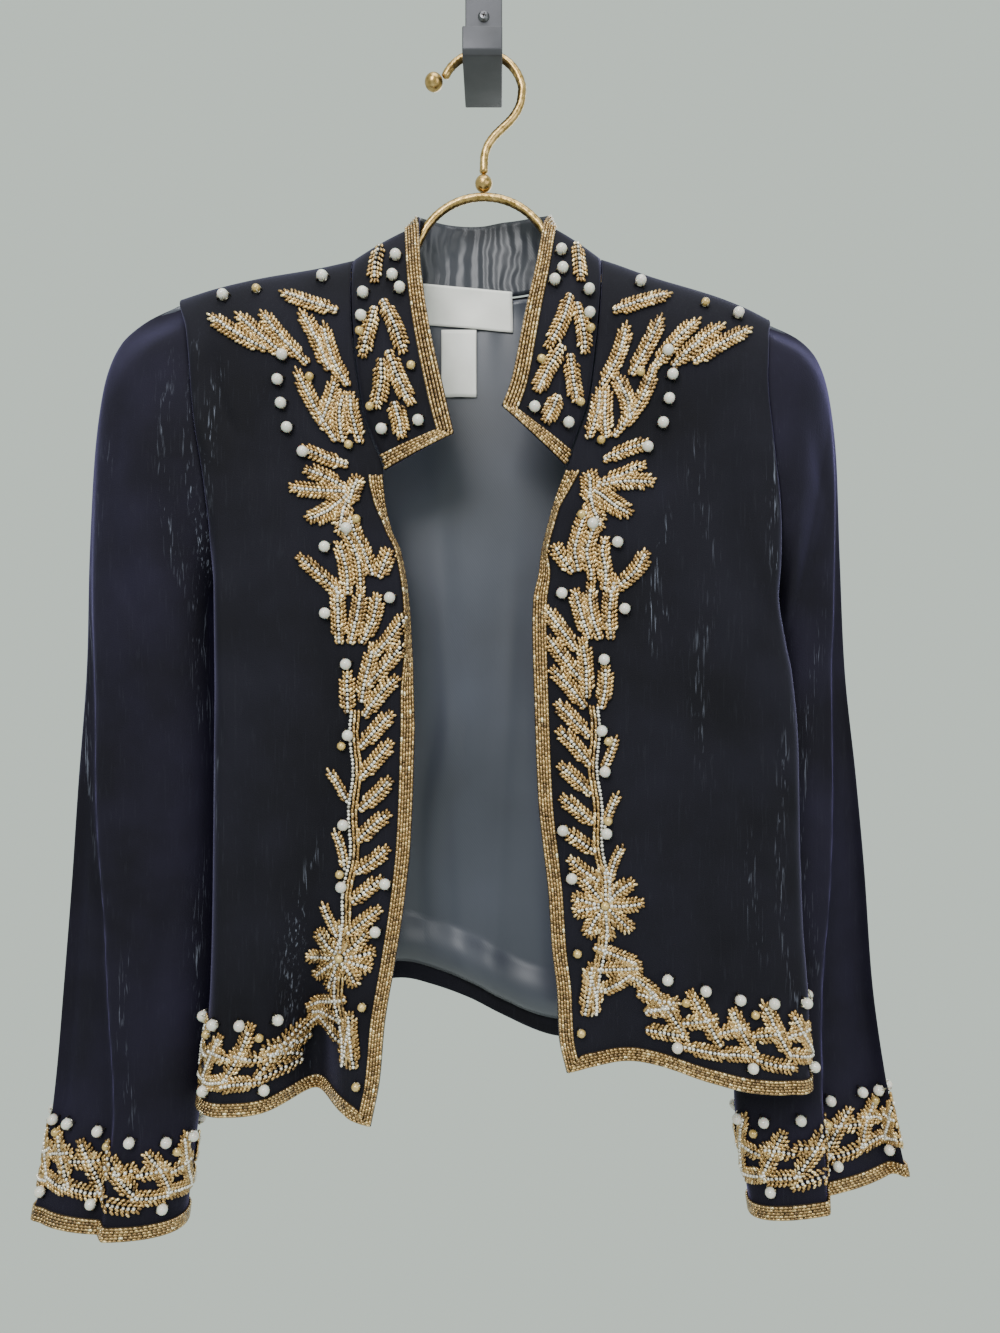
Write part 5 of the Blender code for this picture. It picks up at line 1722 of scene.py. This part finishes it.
class Stamper:
    """Sets many copies of one small mesh at given places as one joined mesh."""

    def __init__(self, template: bmesh.types.BMesh) -> None:
        """Read the template's points and faces.

        Args:
            template: the small mesh, which is freed.
        """
        template.verts.index_update()
        self.points = np.array([vert.co[:] for vert in template.verts])
        self.corners = np.array([vert.index for face in template.faces for vert in face.verts])
        self.starts = np.cumsum([0] + [len(face.verts) for face in template.faces][:-1])
        template.free()

    def build(self, name: str, origins: Array, turns: Array, tones: Array,
              sizes: Array | float = 1.0, smooth: bool = True) -> bpy.types.Mesh:
        """Join a copy for each place.

        Args:
            name: the mesh's name.
            origins: the places, in millimetres.
            turns: a three by three matrix for each place.
            tones: a tone from 0 to 1 for each place.
            sizes: a size for each place.
            smooth: whether faces are shaded smooth.

        Returns:
            One mesh in metres.
        """
        count, each = len(origins), len(self.points)
        scaled = np.broadcast_to(sizes, (count,))[:, None, None] * self.points[None]
        points = np.einsum("nij,nkj->nki", turns, scaled) + origins[:, None, :]
        copy = np.arange(count)[:, None]
        loops = (self.corners[None] + each * copy).reshape(-1)
        loop_starts = (self.starts[None] + len(self.corners) * copy).reshape(-1)
        mesh = bpy.data.meshes.new(name)
        mesh.vertices.add(count * each)
        mesh.vertices.foreach_set("co", (points * MM).reshape(-1))
        mesh.loops.add(len(loops))
        mesh.loops.foreach_set("vertex_index", loops.astype(np.int32))
        mesh.polygons.add(len(loop_starts))
        mesh.polygons.foreach_set("loop_start", loop_starts.astype(np.int32))
        mesh.update(calc_edges=True)
        mesh.validate()
        if smooth:
            mesh.shade_smooth()
        layer = mesh.attributes.new("tone", "FLOAT", "POINT")
        layer.data.foreach_set("value", np.repeat(tones, each).astype(np.float32))
        return mesh


@dataclass
class LeafStitcher:
    """Sews the beads of every leaf and sets every pearl of one piece."""

    surface: ClothSurface
    work: Beadwork
    seed: int
    pitch: float = 2.55
    stem_height: float = 2.3
    blade_height: float = 1.5
    blade_first: float = 2.0
    blade_step: float = 2.1
    blade_spread: float = 34.0
    pearl_seat: float = 0.92

    def build(self, name: str) -> None:
        """Make the leaves' silver and gold beads, the pearls and their claws, as joined pieces.

        Args:
            name: start of the pieces' names.
        """
        chance = np.random.default_rng(self.seed)
        silver, gold = self._leaf_places(chance)
        self._beads(name + "_leaf_stems", Bead.ROUND, silver, self.stem_height, Finish.LEAF_SILVER, chance)
        self._beads(name + "_leaf_blades", Bead.DROP, gold, self.blade_height, Finish.LEAF_GOLD, chance)
        sizes = (("_pearls", WHITE_PEARL, Finish.PEARL), ("_gold_pearls", SMALL_PEARL, Finish.PEARL_GOLD))
        for word, radius, finish in sizes:
            own = [pearl for pearl in self.work.pearls if pearl[2] == radius]
            if own:
                self._seat(name + word, pearl_ball(), own, finish)
        self._seat(name + "_claws", Setting().template(), self.work.pearls, Finish.CLAW)

    def _leaf_places(self, chance: np.random.Generator) -> tuple[Array, Array]:
        """Work out where the beads of all leaves and stems lie, and their headings.

        Args:
            chance: the seeded source of the leaves' small bends.

        Returns:
            The places of the middle lines' beads and of the blades'.
        """
        stems, blades = [], []
        for leaf in self.work.leaves:
            along = np.array([math.cos(leaf.angle), math.sin(leaf.angle)])
            over = np.array([-along[1], along[0]])
            foot = np.array([leaf.u, leaf.v])
            bend = chance.uniform(-0.06, 0.06) * leaf.length
            count = int(leaf.length / self.pitch)
            for i in range(count):
                t = (i + 0.5) / count
                middle = foot + along * leaf.length * t + over * bend * math.sin(pi * t)
                half = leaf.width / 2 * math.sin(pi * min(0.999, t * 0.93 + 0.05)) ** 0.6
                (stems if t < 0.9 else blades).append((*middle, leaf.angle))
                blades += self._blade_beads(middle, along, over, half, leaf.angle)
        for u0, v0, u1, v1 in self.work.stems:
            reach, heading = math.hypot(u1 - u0, v1 - v0), math.atan2(v1 - v0, u1 - u0)
            for i in range(int(reach / self.pitch)):
                t = (i + 0.5) * self.pitch / reach
                u = u0 + (u1 - u0) * t + 1.2 * math.sin(i * 0.31)
                v = v0 + (v1 - v0) * t
                stems.append((u + 1.8, v, heading))
                blades += [(u - 0.6, v, heading), (u - 3.0, v, heading)]
        return np.array(stems), np.array(blades)

    def _blade_beads(self, middle: Array, along: Array, over: Array, half: float,
                     angle: float) -> list[tuple]:
        """Work out the beads that lean out on both sides of one place of a leaf's middle line.

        Args:
            middle: the place.
            along: the leaf's own direction.
            over: the direction across it.
            half: half the leaf's width there.
            angle: the leaf's heading.

        Returns:
            Places and headings.
        """
        beads = []
        for sign in (-1, 1):
            for column in (0, 1):
                away = self.blade_first + self.blade_step * column
                if away <= half + 0.1:
                    spot = middle + over * sign * away + along * (0.9 * column)
                    beads.append((*spot, angle + sign * math.radians(self.blade_spread + 8 * column)))
        return beads

    def _beads(self, name: str, bead: Bead, places: Array, height: float, finish: Finish,
               chance: np.random.Generator) -> None:
        """Sew beads at the given places, a little unevenly, as one joined piece.

        Args:
            name: the piece's name.
            bead: the shape of bead.
            places: two lengths and a heading for each.
            height: how high their middles stand.
            finish: their finish.
            chance: the seeded source of their small differences.
        """
        jitter = chance.normal(0.0, 0.12, places.shape) * np.array([1.0, 1.0, 0.6])
        u, v, angle = (places + jitter).T
        heights = height + chance.normal(0.0, 0.1, len(places))
        origins = self.surface.at(u, v, heights)
        turns = self.surface.stand(u, v, angle)
        tones = np.clip(chance.normal(0.55, 0.22, len(places)), 0, 1)
        sizes = chance.uniform(0.92, 1.06, len(places))
        mesh = Stamper(bead.template()).build(name, origins, turns, tones, sizes)
        link_mesh(name, mesh, finish)

    def _seat(self, name: str, template: bmesh.types.BMesh, pearls: list[tuple], finish: Finish) -> None:
        """Put a copy of a shape of radius 1 at every pearl's middle, as one joined piece.

        Args:
            name: the piece's name.
            template: the shape.
            pearls: two lengths and a radius for each.
            finish: its finish.
        """
        u, v, radius = np.array(pearls).T
        size = radius * self.pearl_seat
        origins = self.surface.at(u, v, size)
        turns = self.surface.stand(u, v, np.zeros(len(u)))
        mesh = Stamper(template).build(name, origins, turns, np.full(len(u), 0.5), size)
        link_mesh(name, mesh, finish)


@dataclass
class TrimStitcher:
    """Sews the five rows of bugle beads of one trim, over a thin dark tape."""

    surface: ClothSurface
    near: Array
    far: Array
    seed: int
    rows: int = 5
    pitch: float = 3.05
    height: float = 1.25
    tape: float = 0.35
    bead_size: float = 0.97

    def build(self, name: str, node: str) -> None:
        """Make the beads, which stand for the trim's solid, and the tape under them.

        Args:
            name: start of the pieces' names.
            node: the trim's solid.
        """
        chance = np.random.default_rng(self.seed)
        origins, turns, tones = [], [], []
        for row in range(self.rows):
            share = 0.02 + 0.96 * (row + 0.5) / self.rows
            spots, frames = self._row(self.near + (self.far - self.near) * share, row, chance)
            origins.append(spots)
            turns.append(frames)
            tone = 0.40 + 0.12 * math.sin(row * 2.1)
            tones.append(np.clip(chance.normal(tone, 0.2, len(spots)), 0, 1))
        joined = [np.concatenate(parts) for parts in (origins, turns, tones)]
        mesh = Stamper(Bead.BUGLE.template()).build(name + "_beads", *joined, self.bead_size, False)
        beads = link_mesh(name + "_beads", mesh, Finish.TRIM_BRONZE)
        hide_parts(node)
        strip = lay_grid((len(self.near) - 1, 4), self._tape_points)
        link_mesh(name + "_tape", from_bmesh(name + "_tape", strip), Finish.TAPE)

    def _row(self, places: Array, row: int,
             chance: np.random.Generator) -> tuple[Array, Array]:
        """Space one row's beads an even pitch apart.

        Args:
            places: the row's line, as places on the surface.
            row: its number, because every other row is shifted.
            chance: the seeded source of small differences.

        Returns:
            The beads' spots and their turns.
        """
        known = np.linspace(0, 1, len(places))
        dense = interpolate(np.linspace(0, 1, 8 * len(places)), known, places)
        line = self.surface.at(dense[:, 0], dense[:, 1], self.height)
        length = run_length(line)
        count = max(2, int(length[-1] / self.pitch))
        at = (np.arange(count) + 0.5) * length[-1] / count
        at = np.clip(at + (row % 2) * 0.25 * self.pitch + chance.normal(0, 0.12, count), 0, length[-1])
        ahead = interpolate(at + 1.0, length, line) - interpolate(at - 1.0, length, line)
        up = self.surface.normal(*interpolate(at, length, dense).T)
        return interpolate(at, length, line), square_turns(ahead, up)

    def _tape_points(self, along: Array, across: Array) -> Array:
        """Work out points of the narrow tape that the beads are sewn to.

        Args:
            along: shares of its length.
            across: shares of its width.

        Returns:
            Points in millimetres.
        """
        known = np.arange(len(self.near))
        low, high = [interpolate(along * known[-1], known, edge) for edge in (self.near, self.far)]
        spots = low + (high - low) * across[:, None]
        return self.surface.at(spots[:, 0], spots[:, 1], self.tape)


@dataclass
class Blazer:
    """The whole jacket: shells, lining, labels, beadwork and trims."""

    trim_wide: float = 9.5
    collar_trim_wide: float = 10.5
    label_lift: float = 7.2
    label_thick: float = 0.4

    def __post_init__(self) -> None:
        """Work out the surfaces of all pieces."""
        self.fronts = {side: FrontPanel(side) for side in Side}
        self.back = BackPanel()
        self.collar = Collar(self.fronts, self.back)
        self.sleeves = {side: Sleeve(side, self.fronts[side], self.back) for side in Side}

    def build(self) -> None:
        """Make every piece of the jacket."""
        self.build_shells()
        self.build_lining()
        self.build_labels()
        self.build_beadwork()
        self.build_trims()

    def build_shells(self) -> None:
        """The velvet pieces, each a sheet that stands for its solid."""
        cuts = {
            "front_right": ((0.21, 0.60), 0.100, (84, 190)),
            "front_left": ((0.24, 0.57), 0.110, (88, 184)),
            "sleeve_right": ((0.30, 0.65), 0.150, (88, 170)),
            "sleeve_left": ((0.26, 0.64), 0.125, (84, 164)),
            "back": ((0.46, 0.58), 0.220, (120, 150)),
            "collar": ((0.46, 0.053), 0.0235, (150, 16)),
        }
        surfaces = {"front_" + side.word: self.fronts[side] for side in Side}
        surfaces |= {"sleeve_" + side.word: self.sleeves[side] for side in Side}
        surfaces |= {"back": self.back, "collar": self.collar}
        # The collar's inside takes the darker satin copy, which paints its shade.
        insides = {"sleeve_" + side.word: Finish.SATIN for side in Side} | {"collar": Finish.COLLAR_SATIN_PAINTED_SHADE}
        for node, surface in surfaces.items():
            flat, area, counts = cuts[node]
            sleeve = node.startswith("sleeve")
            # The sleeves take the lighter velvet copy, whose base colours paint their sheen.
            outside = Finish.SLEEVE_VELVET if sleeve else Finish.VELVET
            inside = insides.get(node, Finish.VELVET)
            maker = ClothMaker(surface, closed=sleeve)
            piece = maker.build(node + "_velvet", counts, "velvet", outside, inside)
            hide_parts(node)
            LOG.info("%s: %d faces", piece.name, len(piece.data.polygons))

    def build_lining(self) -> None:
        """The satin back lining."""
        lining = Lining(self.back)
        maker = ClothMaker(lining, thick=0.5)
        piece = maker.build("back_lining", (96, 150), "satin_lining", Finish.SATIN, Finish.SATIN)
        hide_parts("lining_back")

    def build_labels(self) -> None:
        """The blank neck label and the blank care label under it."""
        self._label("neck_label", (-44, 21), (174, 204), 0.09)
        self._label("care_label", (-30, -5), (208, 256), 0.0)

    def _label(self, node: str, across: tuple, downs: tuple, slope: float) -> None:
        """One label as a slightly bowed sheet with turned-in ends.

        Args:
            node: the solid that it stands for.
            across: x of its two ends.
            downs: depth of its upper and lower edge.
            slope: fall of its edges along x.
        """
        def lay(a: Array, b: Array) -> Array:
            """Points of the label, which bows a little off the lining."""
            x = across[0] + (across[1] - across[0]) * a
            down = downs[0] + (downs[1] - downs[0]) * b + slope * (x - across[0])
            bow = 0.5 * np.sin(a * 9.0) * np.sin(b * 5.0) + 0.4 * np.sin(pi * b)
            return self.back.at(x, down, -(self.label_lift + bow))

        grid = lay_grid((26, 16), lay)
        grid.normal_update()
        grid.faces.ensure_lookup_table()
        if grid.faces[len(grid.faces) // 2].normal.y > 0:
            bmesh.ops.reverse_faces(grid, faces=grid.faces)
        piece = link_mesh(node + "_cloth", from_bmesh(node, grid), Finish.LABEL)
        add_wall(piece, self.label_thick)
        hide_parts(node)

    def build_beadwork(self) -> None:
        """Leaves and pearls of every piece."""
        plans = [("collar", self.collar, Beadwork.for_collar, 11), ("back", self.back, Beadwork.for_back, 12)]
        for i, side in enumerate(Side):
            plans.append(("front_" + side.word, self.fronts[side], Beadwork.for_front, 21 + i))
            plans.append(("cuff_" + side.word, self.sleeves[side], Beadwork.for_sleeve, 31 + i))
        for name, surface, plan, seed in plans:
            work = plan(surface)
            LeafStitcher(surface, work, seed).build(name)
            LOG.info("%s: %d leaves, %d pearls", name, len(work.leaves), len(work.pearls))

    def build_trims(self) -> None:
        """Bead trims of collar, fronts, back hem and cuffs."""
        plans = [("trim_collar", self.collar, self.collar_trim_wide)]
        plans.append(("trim_back", self.back, self.trim_wide))
        for side in Side:
            plans.append(("trim_front_" + side.word, self.fronts[side], self.trim_wide))
            plans.append(("trim_cuff_" + side.word, self.sleeves[side], self.trim_wide))
        for i, (node, surface, wide) in enumerate(plans):
            near, far = surface.trim_lines(wide)
            TrimStitcher(surface, near, far, 50 + i).build(node, node)
            LOG.info("%s sewn", node)


# Bends that join the hanger's arch to its arms, and the stem under its hook: x and depth.
RIGHT_BEND = [(-84, 178.5), (-73, 177.5), (-62, 174.5), (-53, 168.5), (-47, 160)]
LEFT_BEND = [(48.5, 160), (54.5, 168.5), (63.5, 174.5), (74, 178), (84, 180)]
HOOK_STEM = [(26.5, 56), (24, 63), (19.5, 69.5), (13.5, 75.5), (7.5, 81.5), (3, 88.5), (1, 96)]


def arc(x: float, down: float, radius: float, start: float, end: float) -> list[tuple[float, float]]:
    """Places on an arc."""
    turns = np.radians(np.linspace(start, end, 15))
    return [(x + radius * math.cos(t), down - radius * math.sin(t)) for t in turns]


@dataclass
class Hanger:
    """The gold rod hanger: its arms and arch, its hook and its two balls."""

    rod: float = 3.0
    plane_y: float = -42.0
    arch_x: float = 0.8
    arch_down: float = 171.3
    arch_radius: float = 48.2
    hook_x: float = -0.6
    hook_down: float = 51.4
    hook_radius: float = 28.1
    foot_x: float = 0.6
    ball: float = 6.0
    tip: float = 6.3
    tip_out: float = 7.338
    tip_low: float = 2.576
    arm_below: float = 6.3
    dimple: float = 0.16
    ring_pitch: float = 1.3
    ring_sides: int = 18

    def arm(self, side: Side) -> list[tuple[float, float]]:
        """Route of one arm under the shoulder seam.

        Args:
            side: the arm's side.

        Returns:
            Places, as x and depth.
        """
        end = 206.0 if side is Side.RIGHT else 196.0
        shoulder = SHOULDER[side]
        outs = spaced(96, end - 16, 16)
        return [(side.value * out, float(shoulder.at("down", out)) + self.arm_below) for out in outs]

    def arch(self) -> list[tuple[float, float]]:
        """Route of the arch and the two bends that join it to the arms."""
        return RIGHT_BEND + arc(self.arch_x, self.arch_down, self.arch_radius, 156, 24) + LEFT_BEND

    def hook(self) -> list[tuple[float, float]]:
        """Route of the hook from its tip to the ball at its foot."""
        ring = arc(self.hook_x, self.hook_down, self.hook_radius, 158, 8)
        return ring + HOOK_STEM + [(self.foot_x, self.foot_down() - 0.4)]

    def foot_down(self) -> float:
        """Depth of the top of the ball that stands on the arch."""
        return self.arch_down - self.arch_radius - self.rod - 0.3 - 2 * self.ball

    def build(self) -> None:
        """Make the rods and balls."""
        arms = self.arm(Side.RIGHT)[::-1] + self.arch() + self.arm(Side.LEFT)
        self._rod("hanger_rod", arms, "hanger")
        self._rod("hanger_hook_rod", self.hook(), "hanger_hook")
        self._ball("hanger_foot_ball", self.foot_x, self.foot_down() + self.ball, self.ball, "hanger_ball")
        x, down = self.hook()[0]
        self._ball("hanger_tip_ball", x - self.tip_out, down + self.tip_low, self.tip, "hanger_tip")

    def _rod(self, name: str, route: list[tuple[float, float]], node: str) -> None:
        """Make a hammered round rod along a route, with rounded ends.

        Args:
            name: the piece's name.
            route: places that it runs through, as x and depth.
            node: the solid that it stands for.
        """
        length = run_length(np.array(route, dtype=float))
        smooth = Profile(["x", "down"], [(s, x, down) for s, (x, down) in zip(length, route)])

        def lay(along: Array, around: Array) -> Array:
            """Points of the rod, with its small dimples."""
            key, turn = along * length[-1], around * 2 * pi
            ahead_x = smooth.at("x", key + 0.6) - smooth.at("x", key - 0.6)
            ahead_down = smooth.at("down", key + 0.6) - smooth.at("down", key - 0.6)
            size = np.hypot(ahead_x, ahead_down)
            ends = rounded(np.minimum(key, length[-1] - key) / (0.6 * self.rod) + 0.04)
            dimple = self.dimple * np.sin(key * 1.75 + 2.3 * np.sin(turn * 2)) * np.sin(turn * 4 + key * 0.35)
            radius = (self.rod + dimple - 0.1) * ends
            across = radius * np.cos(turn)
            x = smooth.at("x", key) - ahead_down / size * across
            down = smooth.at("down", key) + ahead_x / size * across
            return np.stack([x, self.plane_y + radius * np.sin(turn), -down], axis=-1)

        mesh = lay_grid((int(length[-1] / self.ring_pitch), self.ring_sides), lay)
        bmesh.ops.remove_doubles(mesh, verts=mesh.verts, dist=1e-5)
        rim = [edge for edge in mesh.edges if edge.is_boundary]
        bmesh.ops.holes_fill(mesh, edges=rim)
        bmesh.ops.recalc_face_normals(mesh, faces=mesh.faces)
        piece = link_mesh(name, from_bmesh(name, mesh), Finish.HANGER)
        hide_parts(node)

    def _ball(self, name: str, x: float, down: float, radius: float, node: str) -> None:
        """A plated ball.

        Args:
            name: the piece's name.
            x: place of its middle.
            down: depth of its middle.
            radius: its radius.
            node: the solid that it stands for.
        """
        mesh = bmesh.new()
        bmesh.ops.create_icosphere(mesh, subdivisions=4, radius=radius * MM)
        bmesh.ops.translate(mesh, verts=mesh.verts, vec=(x * MM, self.plane_y * MM, -down * MM))
        piece = link_mesh(name, from_bmesh(name, mesh), Finish.HANGER)
        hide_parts(node)


@dataclass
class WallHook:
    """The flat grey wall hook with its cross-head screw."""

    width: float = 27.0
    top: float = 42.0
    bottom: float = 38.0
    plate: float = 5.0
    arm_top: float = 30.6
    reach: float = 66.0
    lip_top: float = 19.5
    lip: float = 4.0
    edge: float = 0.9
    screw_up: float = 26.0
    screw_radius: float = 4.2
    screw_gap: float = 0.3
    screw_head: float = 1.8
    cross_out: float = 2.1
    cross_turn: float = 0.3
    cross_arm: tuple[float, float, float] = (3.6, 0.14, 0.75)

    def build(self) -> None:
        """Make the hook and its screw."""
        profile = [
            (0.0, -self.top), (0.0, self.bottom),
            (-self.reach + 3, self.bottom), (-self.reach, self.bottom - 3),
            (-self.reach, self.lip_top), (-self.reach + self.lip, self.lip_top),
            (-self.reach + self.lip, self.arm_top), (-self.plate, self.arm_top), (-self.plate, -self.top),
        ]
        half = self.width / 2
        mesh = bmesh.new()
        face = mesh.faces.new([mesh.verts.new((-half * MM, y * MM, -down * MM)) for y, down in profile])
        grown = bmesh.ops.extrude_face_region(mesh, geom=[face])
        verts = [item for item in grown["geom"] if isinstance(item, bmesh.types.BMVert)]
        bmesh.ops.translate(mesh, verts=verts, vec=(self.width * MM, 0, 0))
        bmesh.ops.recalc_face_normals(mesh, faces=mesh.faces)
        bmesh.ops.bevel(
            mesh, geom=mesh.edges[:], offset=self.edge * MM, segments=3, profile=0.5, affect="EDGES",
            material=-1,
        )
        data = from_bmesh("wall_hook_metal", mesh)
        data.set_sharp_from_angle(angle=math.radians(40))
        piece = link_mesh("wall_hook_metal", data, Finish.HOOK)
        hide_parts("wall_hook")
        self._screw()

    def _screw(self) -> None:
        """A domed screw head with a cross recess, whose cross is two thin dark bars on the head: painted
        shade in the recess.
        """
        mesh = bmesh.new()
        bmesh.ops.create_cone(
            mesh, cap_ends=True, segments=40, radius1=self.screw_radius * MM,
            radius2=self.screw_radius * 0.72 * MM, depth=self.screw_head * MM,
        )
        top = max(mesh.faces, key=lambda face: face.calc_center_median().z)
        bmesh.ops.inset_region(mesh, faces=[top], thickness=0.5 * MM, depth=0.25 * MM)
        bmesh.ops.rotate(mesh, verts=mesh.verts, matrix=Matrix.Rotation(pi / 2, 3, "X"))
        base = self.plate + self.screw_gap
        middle = Vector((0.0, -(base + self.screw_head / 2), self.screw_up)) * MM
        bmesh.ops.translate(mesh, verts=mesh.verts, vec=middle)
        data = from_bmesh("screw_head", mesh)
        data.set_sharp_from_angle(angle=math.radians(35))
        piece = link_mesh("screw_head", data, Finish.SCREW)
        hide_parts("screw")
        # The cross recess is two thin dark bars on the head's face: painted shade where the recess would be.
        cross = bmesh.new()
        place = Vector((0.0, -(base + self.cross_out), self.screw_up)) * MM
        for turn in (self.cross_turn, self.cross_turn + pi / 2):
            made = bmesh.ops.create_cube(cross, size=1.0)
            bmesh.ops.scale(cross, verts=made["verts"], vec=Vector(self.cross_arm) * MM)
            bmesh.ops.rotate(cross, verts=made["verts"], matrix=Matrix.Rotation(turn, 3, "Y"))
            bmesh.ops.translate(cross, verts=made["verts"], vec=place)
        link_mesh("screw_cross", from_bmesh("screw_cross", cross, False), Finish.TAPE)


@dataclass
class Stage:
    """The camera of the photograph, a pale floor and soft light."""

    camera_x: float = 11.9
    camera_y: float = -735.0
    camera_down: float = 448.5
    lens: float = 27.0
    floor_down: float = 1600.0
    wall_colour: str = "#c3cec5"
    wall_light: float = 1.22

    def build(self) -> None:
        """Make the camera, the lights, the world and the floor."""
        self._camera()
        self._world()
        self._floor()
        self._light("key_light", (-0.45, -1.6, 0.55), (0.0, 0.0, -0.45), 0.8, 30.0)
        self._light("fill_light", (1.3, -1.3, -0.2), (0.0, 0.0, -0.5), 1.2, 11.0)
        self._light("top_light", (0.1, -0.5, 1.0), (0.0, -0.05, -0.5), 1.0, 12.0)
        self._light("back_light", (0.6, 1.8, 0.3), (0.0, 0.0, -0.5), 1.5, 18.0)

    def _camera(self) -> None:
        """The camera, level and square to the wall."""
        data = bpy.data.cameras.new("camera")
        data.lens = self.lens
        data.sensor_width = 36.0
        camera = bpy.data.objects.new("camera", data)
        camera.location = (self.camera_x * MM, self.camera_y * MM, -self.camera_down * MM)
        camera.rotation_euler = (pi / 2, 0.0, 0.0)
        bpy.context.scene.collection.objects.link(camera)
        bpy.context.scene.camera = camera

    def _world(self) -> None:
        """A plain pale surround."""
        world = bpy.data.worlds.new("surround")
        world.use_nodes = True
        background = world.node_tree.nodes["Background"]
        plug(background, {"Color": linear(self.wall_colour), "Strength": self.wall_light})
        bpy.context.scene.world = world

    def _floor(self) -> None:
        """The floor, at the height that a jacket hangs over it."""
        mesh = bmesh.new()
        bmesh.ops.create_grid(mesh, x_segments=8, y_segments=8, size=1.6)
        bmesh.ops.translate(mesh, verts=mesh.verts, vec=(0.0, -1.0, -self.floor_down * MM))
        floor = bpy.data.objects.new("floor", from_bmesh("floor", mesh))
        bpy.context.scene.collection.objects.link(floor)
        floor.data.materials.append(WARDROBE.get(Finish.FLOOR))

    def _light(self, name: str, place: tuple, target: tuple, size: float, power: float) -> None:
        """A soft square light that points at a target.

        Args:
            name: the light's name.
            place: where it is, in metres.
            target: what it points at, in metres.
            size: its side, in metres.
            power: its power in watts.
        """
        data = bpy.data.lights.new(name, "AREA")
        data.shape = "SQUARE"
        data.size = size
        data.energy = power
        light = bpy.data.objects.new(name, data)
        light.location = place
        light.rotation_euler = (Vector(target) - Vector(place)).to_track_quat("-Z", "Y").to_euler()
        bpy.context.scene.collection.objects.link(light)


def main() -> None:
    """Build the stage, the hook, the hanger and the blazer."""
    logging.basicConfig(level=logging.INFO, format="%(name)s: %(message)s")
    Stage().build()
    WallHook().build()
    Hanger().build()
    Blazer().build()


if __name__ == "__main__":
    main()
